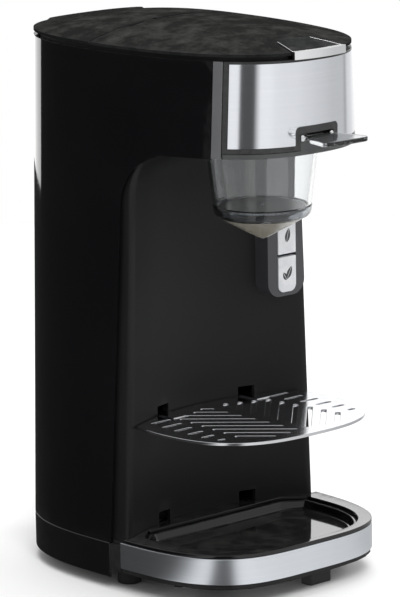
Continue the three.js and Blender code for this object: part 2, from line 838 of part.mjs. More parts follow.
function makeCasing() {
  const shell = bodyShell(panelZ, panelTop, 0, panelThickness).intersect(panelRegion(headPanelFront));
  const half = rearPanelWidth / 2;
  const side = half + seatGap;
  const front = slab(wide, -deep, widestLineY, 0, 2 * panelTop);
  const leftRegion = block(-wide, -side, -deep, deep, 0, 2 * panelTop);
  const rightRegion = block(side, wide, -deep, deep, 0, 2 * panelTop);
  const leftFront = block(-wide, 0, -deep, widestLineY, 0, 2 * panelTop);
  const rightFront = block(0, wide, -deep, widestLineY, 0, 2 * panelTop);
  addNode("left_side_panel", shell.intersect(joined(leftRegion, leftFront)), "glossBlack");
  addNode("right_side_panel", shell.intersect(joined(rightRegion, rightFront)), "glossBlack");

  const rear = cut(shell, front).intersect(slab(half, -deep, deep, 0, 2 * panelTop));
  const slots = Array.from({ length: ventSlots }, (unused, i) => {
    const z = ventSlotZ + i * ventSlotPitch;
    return slab(half - ventSlotMargin, widestLineY, deep, z, z + ventSlotHeight);
  });
  const glandHole = rodAlongY(glandRadius + seatGap, widestLineY, deep, 0, glandZ);
  const holes = rearScrewPlaces().flatMap(([x, z]) => [
    rodAlongY(screwShank + seatGap, widestLineY, deep, x, z, 12),
    rodAlongY(screwRadius + seatGap, rearFaceY(x) - screwHead, deep, x, z, 16),
  ]);
  addNode("rear_panel", cut(rear, ...slots, glandHole, ...holes), "satinBlack");

  const strips = bodyShell(headGroundClearance + seatGap, panelTop, 0, panelThickness).intersect(
    slab(wide, trimFrontY, headPanelFront - seatGap, 0, 2 * panelTop),
  );
  const leftHalf = block(-wide, 0, -deep, deep, 0, 2 * panelTop);
  addNode("side_trim_left", strips.intersect(leftHalf), "satinGrey");
  addNode("side_trim_right", strips.subtract(leftHalf), "satinGrey");
}

function rearScrewPlaces() {
  const sideX = rearPanelWidth / 2 - rearScrewInset;
  const low = panelZ + rearScrewMargin;
  const high = panelTop - rearScrewMargin;
  return [
    [-sideX, low],
    [sideX, low],
    [-sideX, high],
    [sideX, high],
  ];
}

// How far back the rear panel's face is, at a distance from its middle
function rearFaceY(x) {
  const share = (Math.abs(x) * 2) / topWidth;
  return widestLineY + backDepth * (1 - share ** backPower) ** (1 / backPower);
}

function makeColumnCover() {
  const bottom = rimZ;
  const top = headGroundClearance - seatGap;
  const lower = skinned([coverRing(bottom, false), coverRing(stripBottomZ, false)]);
  const upperLevels = [stripBottomZ, ...roundLevels(coverCoveZ, coverCoveRadius)];
  const upper = skinned(upperLevels.map((z) => coverRing(z, true)));
  const room = bodyBlock(0, top, panelThickness + seatGap);
  const infuserRoom = rod(chamberTopRadius + chamberFlange, coneTip, top + overrun, 0, infuserY);
  const window = block(
    buttonX - buttonWidth / 2 - seatGap,
    buttonX + buttonWidth / 2 + seatGap,
    -deep,
    boardY - seatGap,
    buttonLowZ - seatGap,
    buttonHighZ + buttonHeight + seatGap,
  );
  const hooks = [-hookX, hookX].flatMap((x) => {
    const x0 = x - hookWidth / 2 - slideGap;
    const x1 = x + hookWidth / 2 + slideGap;
    return [lowerSlotZ, shelfZ - seatGap].map((z) => block(x0, x1, -deep, 0, z, z + hookSlotHeight));
  });
  const posts = boardPostPlaces().map(([x, z]) => {
    return rodAlongY(boardPostRadius, hollowY(x, z) + coverThickness / 2, boardY - seatGap, x, z, 16);
  });
  const cover = cut(joined(lower, upper, ...posts).intersect(room), infuserRoom, window, ...hooks);
  addNode("column_front_cover", cover, "satinBlack");
}

function boardPostPlaces() {
  const reach = buttonHeight + buttonSplit / 2 + boardMargin / 2;
  const middle = buttonHighZ - buttonSplit / 2;
  return [
    [buttonX - boardWidth / 2 + boardPostRadius, middle - reach],
    [buttonX - boardWidth / 2 + boardPostRadius, middle + reach],
  ];
}

const everyCorner = [true, true, true, true];

function roundedRectangle(x0, x1, y0, y1, radius, corners = everyCorner, steps = 5) {
  const centres = [
    [x0 + radius, y0 + radius, Math.PI],
    [x1 - radius, y0 + radius, 1.5 * Math.PI],
    [x1 - radius, y1 - radius, 0],
    [x0 + radius, y1 - radius, 0.5 * Math.PI],
  ];
  const sharp = [
    [x0, y0],
    [x1, y0],
    [x1, y1],
    [x0, y1],
  ];
  return centres.flatMap(([cx, cy, start], corner) => {
    if (!corners[corner]) return [sharp[corner]];
    return Array.from({ length: steps + 1 }, (unused, i) => {
      const angle = start + (Math.PI / 2) * (i / steps);
      return [cx + radius * Math.cos(angle), cy + radius * Math.sin(angle)];
    });
  });
}

function makeControls() {
  const frontY = coverLandY - buttonProud;
  const stemEnd = boardY - seatGap - switchDepth - buttonTravel - slideGap;
  const x0 = buttonX - buttonWidth / 2;
  const x1 = buttonX + buttonWidth / 2;
  const keys = {
    strong_button: [buttonLowZ, [true, true, false, false]],
    light_button: [buttonHighZ, [false, false, true, true]],
  };
  for (const [name, [z, corners]] of Object.entries(keys)) {
    const face = roundedRectangle(x0, x1, z, z + buttonHeight, buttonCornerRadius, corners);
    const cap = profileAlongY(face, frontY, frontY + buttonCapDepth);
    const middle = z + buttonHeight / 2;
    const stem = rodAlongY(buttonStemRadius, frontY + buttonCapDepth / 2, stemEnd, buttonX, middle, 16);
    addNode(name, joined(cap, stem), "keys");
    const half = switchSide / 2;
    const body = block(
      buttonX - half,
      buttonX + half,
      boardY - seatGap - switchDepth,
      boardY - seatGap,
      middle - half,
      middle + half,
    );
    addNode(name.replace("button", "switch"), body, "softBlack");
  }
  const boardX = buttonX - boardWidth / 2;
  const board = block(
    boardX,
    boardX + boardWidth,
    boardY,
    boardY + boardThickness,
    buttonLowZ - boardMargin,
    buttonHighZ + buttonHeight + boardMargin,
  );
  addNode("control_board", board, "board");
}

function notchOutline(halfWidth, height, corner) {
  const top = headGroundClearance + height;
  const z0 = headGroundClearance - overrun;
  return roundedRectangle(-halfWidth, halfWidth, z0, top, corner, [false, false, true, true]);
}

function makeHeadFront() {
  const shell = bodyShell(frameZ, panelTop, 0, frameThickness);
  const skin = shell.intersect(ahead(frameBackY, frameZ, panelTop));
  const pocketZ = steelZ - seatGap / 2;
  const pocketTop = steelTopZ + seatGap / 2;
  const pocketShell = bodyShell(pocketZ, pocketTop, -overrun, steelThickness + seatGap);
  const border = profileAlongY(notchOutline(notchHalfWidth, notchHeight, notchCorner), -deep, 0);
  const pocket = pocketShell.intersect(ahead(steelBackY, steelZ, steelTopZ)).subtract(border);
  const openingHalf = notchHalfWidth - notchSideBorder;
  const openingOutline = notchOutline(openingHalf, notchHeight - notchTopBorder, notchCorner / 2);
  const opening = profileAlongY(openingOutline, -deep, 0);
  addNode("head_frame", cut(skin, pocket, opening), "satinBlack");

  const sheet = bodyShell(steelZ, steelTopZ, 0, steelThickness).intersect(
    ahead(steelBackY - seatGap / 2, steelZ, steelTopZ),
  );
  const steelNotch = notchOutline(notchHalfWidth + seatGap / 2, notchHeight + seatGap / 2, notchCorner);
  addNode("head_front_panel", sheet.subtract(profileAlongY(steelNotch, -deep, 0)), "steel");
}

function makeHousing() {
  const z0 = headGroundClearance + seatGap;
  const z1 = housingTop;
  const inner = drawerHalfWidth + seatGap;
  const outer = inner + housingWall;
  const walls = slab(outer, housingFrontY, housingBackY, z0, z1).subtract(
    slab(inner, -deep, housingBackY - housingWall, 0, z1 - housingWall),
  );
  const ledgeTop = drawerTop - drawerThickness / 2 - seatGap;
  const ledges = slab(outer, housingFrontY, housingBackY, z0, ledgeTop).subtract(
    slab(drawerHalfWidth - drawerLip + seatGap, -deep, drawerBackY + slideGap, 0, z1),
  );
  const wings = slab(wide, housingFrontY, drawerBackY, z0, z0 + housingWall).subtract(
    slab(inner, -deep, deep, 0, z1),
  );
  const trimmed = joined(walls, ledges, wings).intersect(bodyBlock(0, panelTop, panelThickness + slideGap));
  const sprayRoom = rod(sprayRadius - sprayPlateDrop + seatGap, 0, z1 + overrun, 0, infuserY);
  const floorRoom = rod(chamberTopRadius + chamberFlange + slideGap, 0, drawerTop + seatGap, 0, infuserY);
  addNode("infuser_housing", cut(trimmed, sprayRoom, floorRoom), "softBlack");

  const upper = rod(sprayRadius, z1 + seatGap, sprayTop, 0, infuserY);
  const lower = rod(sprayRadius - sprayPlateDrop, sprayZ, sprayTop, 0, infuserY);
  const boss = rod(sprayBossRadius, sprayTop - overrun, sprayTop + sprayBossHeight, 0, infuserY, 24);
  const nippleEnd = infuserY + sprayBossRadius + nippleLength;
  const nipple = rodAlongY(nippleRadius, infuserY, nippleEnd, 0, hoseZ, 16);
  const jets = Array.from({ length: sprayHoles }, (unused, i) => {
    const angle = (2 * Math.PI * i) / sprayHoles;
    const x = sprayHoleRing * Math.cos(angle);
    const y = infuserY + sprayHoleRing * Math.sin(angle);
    return rod(sprayHoleRadius, sprayZ - overrun, sprayZ + overrun, x, y, 8);
  });
  addNode("spray_head", cut(joined(upper, lower, boss, nipple), ...jets), "softBlack");
}

function makeDrawer() {
  const planAt = (inset, z0, z1) => plate(bodyOutline(headGroundClearance, inset), z0, z1);
  const front = planAt(0, headGroundClearance, drawerTop).intersect(ahead(frameBackY, 0, drawerTop));
  const runHalf = drawerHalfWidth - drawerLip;
  const runFrontY = frameBackY - overrun;
  const insideFrame = planAt(frameThickness + slideGap, 0, drawerTop + overrun);
  const run = slab(runHalf, runFrontY, drawerBackY, headGroundClearance, drawerTop).intersect(insideFrame);
  const lipZ = drawerTop - drawerThickness / 2;
  const lips = slab(drawerHalfWidth, runFrontY, drawerBackY, lipZ, drawerTop).intersect(insideFrame);
  const tongueBackY = lidFrontY + drawerTongueDepth;
  const tongueBar = slab(drawerTongueHalf, -deep, tongueBackY, headGroundClearance, tongueTop);
  const tongue = tongueBar.intersect(planAt(seatGap / 2, 0, tongueTop + overrun));
  const bore = rod(chamberTopRadius + slideGap, 0, drawerTop + overrun, 0, infuserY);
  const seatZ = chamberTop - seatGap;
  const seat = rod(chamberTopRadius + chamberFlange + seatGap, seatZ, drawerTop + overrun, 0, infuserY);
  addNode("infuser_drawer", cut(joined(front, run, lips, tongue), bore, seat), "softBlack");
}

function makeInfuser() {
  const flangeRadius = chamberTopRadius + chamberFlange;
  const chamber = turned(
    [
      [chamberBottomRadius - chamberWall, chamberBottom],
      [chamberBottomRadius, chamberBottom],
      [chamberTopRadius, headGroundClearance - seatGap],
      [chamberTopRadius, chamberTop],
      [flangeRadius, chamberTop],
      [flangeRadius, flangeTop],
      [chamberTopRadius - chamberWall, flangeTop],
      [chamberTopRadius - chamberWall, headGroundClearance - seatGap],
      [chamberBottomRadius - chamberWall, chamberBottom],
    ],
    0,
    infuserY,
  );
  addNode("infuser_chamber", chamber, "clear");

  const filterTop = ringTop - seatGap;
  const filterZ = filterTop - filterThickness;
  const ring = turned(
    [
      ...ringSide(),
      [coneRim + seatGap, ringTop],
      [coneRim + seatGap, filterZ - seatGap],
      [coneRim - ringLedge, filterZ - seatGap],
      [coneRim - ringLedge, ringBottom + ringChamfer],
      [coneRim, ringBottom],
    ],
    0,
    infuserY,
  );
  addNode("infuser_ring", ring, "clear");
  const filter = turned(
    [
      [plungerRadius + seatGap, filterZ],
      [coneRim, filterZ],
      [coneRim, filterTop],
      [plungerRadius + seatGap, filterTop],
      [plungerRadius + seatGap, filterZ],
    ],
    0,
    infuserY,
  );
  addNode("filter_disc", filter, "steel");

  const outside = coneProfile(0);
  const inside = coneProfile(coneWall).reverse();
  const cone = turned([...outside, ...inside, outside[0]], 0, infuserY);
  addNode("outlet_cone", cone, "pearl");

  const headZ = coneTop - coneDrop * plungerSeatShare + plungerSeatGap;
  const headTop = headZ + plungerCone + plungerHeadThickness;
  const plunger = turned(
    [
      [0, coneTip - plungerReach],
      [plungerRadius, coneTip - plungerReach + plungerNose],
      [plungerRadius, headZ],
      [plungerHeadRadius, headZ + plungerCone],
      [plungerHeadRadius, headTop],
      [plungerRadius, headTop + plungerShoulder],
      [plungerRadius, filterTop + plungerStemTop],
      [0, filterTop + plungerStemTop],
    ],
    0,
    infuserY,
    20,
  );
  addNode("valve_plunger", plunger, "satinGrey");
}

// Side of the outlet cone from its rim down to its tip: flat near the rim, steeper to the spout
function coneProfile(wall) {
  const tipRadius = wall ? spoutRadius : coneTipRadius;
  return Array.from({ length: coneSteps + 1 }, (unused, i) => {
    const share = i / coneSteps;
    const z = i === coneSteps ? coneTip : coneTop - coneDrop * share + wall;
    return [mix(coneRim - wall, tipRadius, share), Math.min(z, coneTop)];
  });
}

// Rounded outer side of the clear ring, from its lower edge up
function ringSide() {
  return Array.from({ length: ringSteps + 1 }, (unused, i) => {
    const angle = (Math.PI / 2) * (1 - i / ringSteps);
    const radius = coneRim + (ringRadius - coneRim) * Math.cos(angle);
    return [radius, ringTop - ringHeight * Math.sin(angle)];
  });
}

function makeHandle() {
  const rootY = lidFrontY + drawerTongueDepth;
  const neckY = lidFrontY + handleNeck;
  const frontY = handleFrontY;
  const steps = 5;
  const corner = (cx, cy, start) =>
    Array.from({ length: steps + 1 }, (unused, i) => {
      const angle = start + (Math.PI / 2) * (i / steps);
      return [cx + handleCorner * Math.cos(angle), cy + handleCorner * Math.sin(angle)];
    });
  const outline = [
    [-handleRootHalf, rootY],
    [-handleRootHalf, neckY],
    [-handleShoulderHalf, neckY - handleShoulder],
    ...corner(-handleFrontHalf + handleCorner, frontY + handleCorner, Math.PI),
    ...corner(handleFrontHalf - handleCorner, frontY + handleCorner, 1.5 * Math.PI),
    [handleShoulderHalf, neckY - handleShoulder],
    [handleRootHalf, neckY],
    [handleRootHalf, rootY],
  ];
  addNode("infuser_handle", plate(outline, handleZ, handleZ + handleThickness), "clear");
  for (const [name, side] of [
    ["handle_pin_left", -1],
    ["handle_pin_right", 1],
  ]) {
    const x = side * (handleRootHalf + handlePinRadius + seatGap);
    const y = rootY - handlePinRadius - handlePinMargin;
    const pin = turned(
      [
        [0, tongueTop + seatGap],
        [handlePinRadius, tongueTop + seatGap],
        [handlePinRadius, tongueTop + handlePinHeight - handlePinChamfer],
        [handlePinRadius * handlePinTopShare, tongueTop + handlePinHeight],
        [0, tongueTop + handlePinHeight + handlePinCrown],
      ],
      x,
      y,
      16,
    );
    addNode(name, pin, "chrome");
  }
}

// Height of the domed top over a point in plan
function domeRise(x, y) {
  const side = Math.abs((2 * x) / topWidth);
  const along = y - widestLineY;
  const end = Math.abs(along / (along < 0 ? topFrontDepth : backDepth));
  const power = along < 0 ? topFrontPower : backPower;
  const reach = (side ** power + end ** power) ** (1 / power);
  return 1 - Math.min(1, reach) ** lidCrownPower;
}

// The domed top as a solid cap between its under face and its top face
function domeCap(extra) {
  const rimPoints = bodyOutline(panelTop);
  const ringAt = (share) => rimPoints.map(([x, y]) => [x * share, widestLineY + (y - widestLineY) * share]);
  const shares = Array.from({ length: lidRings }, (unused, i) => 1 - i / lidRings);
  const under = shares.map((share) =>
    ringAt(share).map(([x, y]) => {
      const rise = lidCrownRise + lidEdgeThickness - lidCrownThickness;
      return [x, y, lidZ + rise * domeRise(x, y)];
    }),
  );
  const over = shares.map((share) =>
    ringAt(share).map(([x, y]) => [x, y, lidZ + lidEdgeThickness + extra + lidCrownRise * domeRise(x, y)]),
  );
  return skinned([...under.reverse(), ...over]);
}

// Plan of the grip, from its lip in front to its rear edge
function gripOutline(grow, side = grow) {
  const frontY = lidFrontY - gripReach - grow;
  const backY = lidFrontY - gripReach + gripDepth + grow;
  const slope = (gripHalfFront - gripHalfBack) / gripDepth;
  const frontHalf = gripHalfFront + side + slope * grow;
  const backHalf = gripHalfBack + side - slope * grow;
  const lip = gripSteps().map((share) => {
    const x = mix(-frontHalf, frontHalf, share);
    return [x, frontY + (gripLipBow * x * x) / gripHalfFront ** 2];
  });
  const back = gripSteps().map((share) => {
    const x = mix(backHalf, -backHalf, share);
    return [x, backY - (gripLipBow * x * x) / gripHalfBack ** 2];
  });
  return [...lip, ...back];
}

function gripSteps() {
  return [0, 0.15, 0.3, 0.5, 0.7, 0.85, 1];
}

function makeTop() {
  const deckTop = deckZ + deckThickness;
  const floor = bodyBlock(deckZ, deckTop, deckInset);
  const wallTop = lidZ - seatGap;
  const wall = bodyShell(deckZ, wallTop, deckInset, deckInset + deckWall);
  const basinZ = deckTop - basinDepth;
  const basin = slab(basinHalfWidth, basinFrontY, basinBackY, basinZ, deckTop);
  const hollow = slab(
    basinHalfWidth - deckWall,
    basinFrontY + deckWall,
    basinBackY - deckWall,
    basinZ + deckThickness,
    deckTop + overrun,
  );
  const drain = slab(drainHalfWidth, tankFrontY + drainMargin, basinBackY - 2 * deckWall, 0, deckTop);
  const gripRoom = plate(gripOutline(slideGap), lidZ - gripDrop - slideGap, lidZ);
  addNode("top_deck", cut(joined(floor, wall, basin), hollow, drain, gripRoom), "softBlack");

  const cap = domeCap(0);
  const axisBack = hingeY + knuckleRadius + seatGap;
  const lidBackY = hingeY + lidRearReach;
  const coverFrontY = hingeY + lidRearReach + lidSeam;
  const grip = plate(gripOutline(seatGap), 0, 2 * panelTop);
  const lidKnuckle = rodAlongX(knuckleRadius, -knuckleHalf, knuckleHalf, hingeY, hingeZ);
  const pinHole = rodAlongX(pinRadius + pinGap, -wide, wide, hingeY, hingeZ);
  const roundOff = block(-wide, wide, hingeY, deep, hingeZ, 2 * panelTop).subtract(
    rodAlongX(knuckleRadius + pinGap, -wide, wide, hingeY, hingeZ),
  );
  const sideRooms = [-1, 1].map((side) => {
    const x0 = side * (knuckleHalf + seatGap / 2);
    const x1 = side * (hingeHalf + seatGap);
    return block(
      Math.min(x0, x1),
      Math.max(x0, x1),
      hingeY - knuckleRadius - slideGap,
      deep,
      hingeZ - knuckleRadius - slideGap,
      2 * panelTop,
    );
  });
  const lidPlate = cut(cap.intersect(ahead(lidBackY, 0, 2 * panelTop)), roundOff, grip, ...sideRooms);
  addNode("lid", cut(joined(lidPlate, lidKnuckle), pinHole), "satinBlack");

  const knuckles = [-1, 1].map((side) => {
    const x0 = side * (knuckleHalf + seatGap);
    const x1 = side * hingeHalf;
    const low = Math.min(x0, x1);
    const high = Math.max(x0, x1);
    const web = block(low, high, hingeY, coverFrontY + overrun, hingeZ - knuckleRadius, hingeZ);
    return joined(rodAlongX(knuckleRadius, low, high, hingeY, hingeZ), web);
  });
  const middleRoom = slab(knuckleHalf + seatGap, -deep, axisBack + seatGap, 0, 2 * panelTop);
  const ventPlan = roundedRectangle(-ventHalfWidth, ventHalfWidth, backY - ventDepth, backY, ventCorner);
  const vent = domeCap(ventRise).intersect(plate(ventPlan, 0, 2 * panelTop));
  const rearPlate = joined(cap, vent).intersect(behind(coverFrontY, 0, 2 * panelTop)).subtract(middleRoom);
  addNode("rear_top_cover", cut(joined(rearPlate, ...knuckles), pinHole), "satinBlack");
  addNode("lid_hinge_pin", rodAlongX(pinRadius, -hingeHalf, hingeHalf, hingeY, hingeZ, 16), "steel");
}

function makeGrip() {
  const bottom = lidZ - gripDrop;
  const plan = plate(gripOutline(0), 0, 2 * panelTop);
  const lip = plate(gripOutline(0), bottom, bottom + gripLip);
  const lipRegion = ahead(lidFrontY + gripLipDepth, 0, 2 * panelTop);
  const body = joined(domeCap(gripRise).intersect(plan), lip.intersect(lipRegion));
  const padFront = behind(lidFrontY, 0, 2 * panelTop);
  const inner = plate(gripOutline(overrun, -gripTrimWidth), 0, 2 * panelTop).intersect(padFront);
  addNode("lid_grip_trim", body.subtract(inner), "chrome");
  const padGap = seatGap + gripTrimWidth;
  const padPlan = plate(gripOutline(0, -padGap), 0, 2 * panelTop);
  const padRegion = behind(lidFrontY + seatGap, 0, 2 * panelTop);
  addNode("lid_grip_pad", body.intersect(padPlan).intersect(padRegion), "softBlack");
}

function makeTank() {
  const outer = bodyBlock(tankZ, tankTop, tankInset).intersect(behind(tankFrontY, tankZ, tankTop));
  const inner = bodyBlock(tankZ + tankWall, tankTop + overrun, tankInset + tankWall).intersect(
    behind(tankFrontY + tankWall, tankZ, tankTop),
  );
  const nipple = rod(outletRadius, tankZ - outletLength, tankZ + tankWall, outletX, outletY, 16);
  addNode("water_tank", joined(outer.subtract(inner), nipple), "tank");
  const valveTop = tankZ - outletLength - seatGap;
  const valve = rod(valveRadius, valveTop - valveHeight, valveTop, outletX, outletY, 20);
  addNode("check_valve", valve, "softBlack");
}

function tube(points, radius, sides, steps) {
  const path = new THREE.CatmullRomCurve3(points.map(([x, y, z]) => new THREE.Vector3(x, y, z)));
  const ring = Array.from({ length: sides }, (unused, i) => {
    const angle = (2 * Math.PI * i) / sides;
    return new THREE.Vector2(radius * Math.cos(angle), radius * Math.sin(angle));
  });
  const geometry = new THREE.ExtrudeGeometry(new THREE.Shape(ring), { steps, extrudePath: path });
  return solidOf(geometry);
}

function makeHeater() {
  const armEndY = backY - heaterBackMargin - heaterTube - heaterHalf;
  const bend = Array.from({ length: heaterBendSteps + 1 }, (unused, i) => {
    const angle = (Math.PI * i) / heaterBendSteps;
    return [-heaterHalf * Math.cos(angle), armEndY + heaterHalf * Math.sin(angle), heaterZ];
  });
  const path = [[-heaterHalf, heaterFrontY, heaterZ], ...bend, [heaterHalf, heaterFrontY, heaterZ]];
  addNode("heater_tube", tube(path, heaterTube, 12, heaterSteps), "castAluminium");

  const z0 = skirtTop + seatGap;
  const sheet = slab(
    bayHalfWidth + bracketOverlap,
    bayFrontY - bracketOverlap,
    bayBackY + bracketOverlap,
    z0,
    z0 + bracketThickness,
  ).intersect(bodyBlock(0, panelTop, panelThickness + slideGap));
  const saddles = [-heaterHalf, heaterHalf].map((x) => {
    return block(
      x - heaterTube / 2,
      x + heaterTube / 2,
      armEndY - saddleLength / 2,
      armEndY + saddleLength / 2,
      z0,
      z0 + bracketThickness + saddleHeight,
    );
  });
  addNode("heater_bracket", joined(sheet, ...saddles), "steel");
  const topZ = heaterZ + heaterTube + seatGap;
  const bendY = armEndY + heaterHalf;
  addNode("thermostat", rod(thermostatRadius, topZ, topZ + thermostatHeight, 0, bendY, 24), "steel");
}

// The hoses leave the heater forwards, climb in front of the tank and end at the spray head and the valve.
function makeHoses() {
  const startY = heaterFrontY - seatGap;
  const endY = infuserY + sprayBossRadius + nippleLength + slideGap;
  const foot = (x, bendTop) => [
    [x, startY, heaterZ],
    [x, startY - hoseStub, heaterZ],
    [x, hoseColumnY + hoseBend, heaterZ + hoseBendRise],
    [x, hoseColumnY, bendTop],
  ];
  const overY = hoseRuns.map((share) => mix(hoseColumnY, endY, share));
  const overX = hoseShares.map((share) => heaterHalf * share);
  const hot = [
    ...foot(heaterHalf, heaterZ + hoseBendTop),
    [heaterHalf, hoseColumnY, tankZ],
    [heaterHalf, hoseColumnY, housingTop - hoseUpperBend],
    [heaterHalf, hoseColumnY, housingTop - hoseUpperEnd],
    [overX[0], overY[0], hoseZ - hoseDip],
    [overX[1], overY[1], hoseZ],
    [0, overY[2], hoseZ],
    [0, endY, hoseZ],
  ];
  addNode("hot_hose", tube(hot, hoseRadius, hoseSides, hoseSteps), "silicone");
  const topZ = tankZ - outletLength - seatGap - valveHeight - slideGap;
  const bendTop = Math.min(heaterZ + hoseBendTop, mix(heaterZ, topZ, hoseBendShare));
  const fall = coldHoseDrops.map((share) => mix(topZ, bendTop, share));
  const cold = [
    ...foot(outletX, bendTop),
    [outletX, mix(hoseColumnY, outletY, coldHoseShares[0]), fall[0]],
    [outletX, mix(hoseColumnY, outletY, coldHoseShares[1]), fall[1]],
    [outletX, outletY, fall[2]],
    [outletX, outletY, topZ],
  ];
  addNode("cold_hose", tube(cold, hoseRadius, hoseSides, hoseSteps), "silicone");
}

function shelfOutline() {
  const front = roundedFront(shelfHalfWidth, shelfMiddleY, shelfFrontY, shelfPower, shelfSteps);
  return [...front, ...hollowPath(shelfRearHalf, -shelfRearHalf, shelfZ, -shelfRearGap)];
}

function slotBar(length, width, x, y, angle) {
  const end = width * slotEndShare;
  const outline = roundedRectangle(-length / 2, length / 2, -width / 2, width / 2, end, everyCorner, 2);
  const turn = outline.map(([u, v]) => [
    x + u * Math.cos(angle) - v * Math.sin(angle),
    y + u * Math.sin(angle) + v * Math.cos(angle),
  ]);
  return plate(turn, shelfZ - overrun, shelfTop + overrun);
}

function makeShelf() {
  const sheet = plate(shelfOutline(), shelfZ, shelfTop);
  const riserY = hookFrontY + shelfThickness;
  const hookTop = shelfTop + hookRise;
  const tabs = [-hookX, hookX].flatMap((x) => {
    const x0 = x - hookWidth / 2;
    const x1 = x + hookWidth / 2;
    const riser = block(x0, x1, hookFrontY, riserY, shelfZ, hookTop);
    return [riser, block(x0, x1, hookFrontY, hookEndY, hookTop - shelfThickness, hookTop)];
  });
  const rooms = [-hookX, hookX].map((x) => {
    const half = hookWidth / 2 + seatGap;
    return block(x - half, x + half, riserY, hookEndY + overrun, shelfZ - overrun, shelfTop + overrun);
  });
  const dashes = dashLengths.flatMap((length, i) => {
    const dashX = shelfHalfWidth - dashInsets[i];
    return [-dashX, dashX].map((x) => slotBar(length, dashWidth, x, dashFirstY - i * dashPitch, 0));
  });
  const veins = Array.from({ length: veinCount }, (unused, i) => {
    const sum = veinFirst + i * veinPitch;
    const outer = Math.min(veinOuterX + sum * veinOuterShare, (sum - veinRearMargin) * veinTaperShare);
    const inner = Math.max(veinInnerX, sum + shelfFrontY + veinFrontMargin);
    const length = (outer - inner) * Math.SQRT2;
    const x = (outer + inner) / 2;
    const y = x - sum;
    return [slotBar(length, veinWidth, -x, y, -Math.PI / 4), slotBar(length, veinWidth, x, y, Math.PI / 4)];
  }).flat();
  const plain = cut(sheet, ...rooms, ...dashes, ...veins);
  addNode("cup_shelf", joined(plain, ...tabs), "steel");
}

function makeFasteners() {
  const rearNames = ["low_left", "low_right", "top_left", "top_right"];
  rearScrewPlaces().forEach(([x, z], i) => {
    const faceY = rearFaceY(x) - screwHead + seatGap;
    const head = rodAlongY(screwRadius, faceY, faceY + screwHead - 2 * seatGap, x, z, 16);
    const shank = rodAlongY(screwShank, faceY - screwLength, faceY + seatGap, x, z, 12);
    addNode(`rear_screw_${rearNames[i]}`, joined(head, shank), "steel");
  });
  const baseNames = ["front_left", "front_right", "rear_left", "rear_right"];
  baseScrewPlaces().forEach(([x, y], i) => {
    const head = rod(screwRadius, footHeight - screwHead, footHeight, x, y, 16);
    const shank = rod(screwShank, footHeight - screwHead / 2, footHeight + screwLength, x, y, 12);
    addNode(`base_screw_${baseNames[i]}`, joined(head, shank), "steel");
  });
  const y1 = rearFaceY(0) - seatGap;
  const flange = rodAlongY(glandRadius, y1 - glandLength, y1, 0, glandZ);
  addNode("cord_gland", flange.subtract(rodAlongY(cordRadius, 0, deep, 0, glandZ)), "rubber");
}

makeFeet();
makeBase();
makeTray();
makeCasing();
makeColumnCover();
makeControls();
makeHeadFront();
makeHousing();
makeDrawer();
makeInfuser();
makeHandle();
makeTop();
makeGrip();
makeTank();
makeHeater();
makeHoses();
makeShelf();
makeFasteners();

// The part's frame has its origin under the middle of the whole part, handle included.
model.position.y = -(handleFrontY + backY) / 2;

export default model;
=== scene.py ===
"""Looks of the automatic tea maker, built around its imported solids."""

import math

import bmesh
import bpy
import numpy as np
from mathutils import Matrix, Vector


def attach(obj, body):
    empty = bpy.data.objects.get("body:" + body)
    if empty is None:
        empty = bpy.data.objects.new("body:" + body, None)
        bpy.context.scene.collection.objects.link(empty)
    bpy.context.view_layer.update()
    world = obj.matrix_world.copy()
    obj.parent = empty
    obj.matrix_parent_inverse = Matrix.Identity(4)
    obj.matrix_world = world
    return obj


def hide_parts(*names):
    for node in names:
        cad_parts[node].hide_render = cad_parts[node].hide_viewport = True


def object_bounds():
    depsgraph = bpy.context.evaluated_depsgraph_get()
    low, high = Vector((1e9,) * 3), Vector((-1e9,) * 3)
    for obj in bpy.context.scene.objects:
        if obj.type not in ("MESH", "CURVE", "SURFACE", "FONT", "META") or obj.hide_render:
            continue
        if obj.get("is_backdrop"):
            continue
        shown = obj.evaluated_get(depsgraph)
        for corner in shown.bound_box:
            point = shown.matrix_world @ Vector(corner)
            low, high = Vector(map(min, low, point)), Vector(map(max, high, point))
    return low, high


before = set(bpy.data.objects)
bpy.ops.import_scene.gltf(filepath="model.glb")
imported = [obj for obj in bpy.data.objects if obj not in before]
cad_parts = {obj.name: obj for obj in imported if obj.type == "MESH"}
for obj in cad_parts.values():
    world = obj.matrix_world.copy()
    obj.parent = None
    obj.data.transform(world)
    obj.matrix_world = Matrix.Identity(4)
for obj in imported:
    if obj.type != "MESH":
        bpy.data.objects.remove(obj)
cad_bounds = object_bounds()

MM = 0.001
SHIFT = 15.9

# Plan of the body, in millimetres
BASE_HALF = 78.1
TOP_HALF = 67.7
WIDEST_Y = 5.6
BASE_FRONT = 108.0
TOP_FRONT = 115.1
TIP_Y = WIDEST_Y - TOP_FRONT
BACK = 96.8
BASE_FRONT_POWER = 3.61
TOP_FRONT_POWER = 2.43
BACK_POWER = 2.6

# Heights
SKIRT_Z = 7.4
SKIRT_TOP = 28.5
PANEL_Z = 28.9
PANEL_TOP = 317.4
BAND_Z = 14.6
BAND_TOP = 30.1
RIM_Z = 30.4
RIM_TOP = 32.5
HEAD_Z = 262.0
LID_Z = 320.0
CROWN_RISE = 8.65
CROWN_POWER = 2.3
LID_EDGE = 1.6
LID_SHELL = 2.2
SEAM_Y = 11.0
COVER_FRONT_Y = 11.7
HINGE_Y = 9.0
HINGE_Z = 328.1

# Clearances and how far cutting shapes reach past a piece
SEAT_GAP = 0.3
SLIDE_GAP = 0.5
TIGHT = 0.15
OVERRUN = 9.0
SHORT_OVERRUN = 2.0
FAR = 99.0
CUT_LOW = 290.0
CUT_TOP = 400.0
COVER_CUT_LOW = 300.0
WINDOW_REACH = 90.0

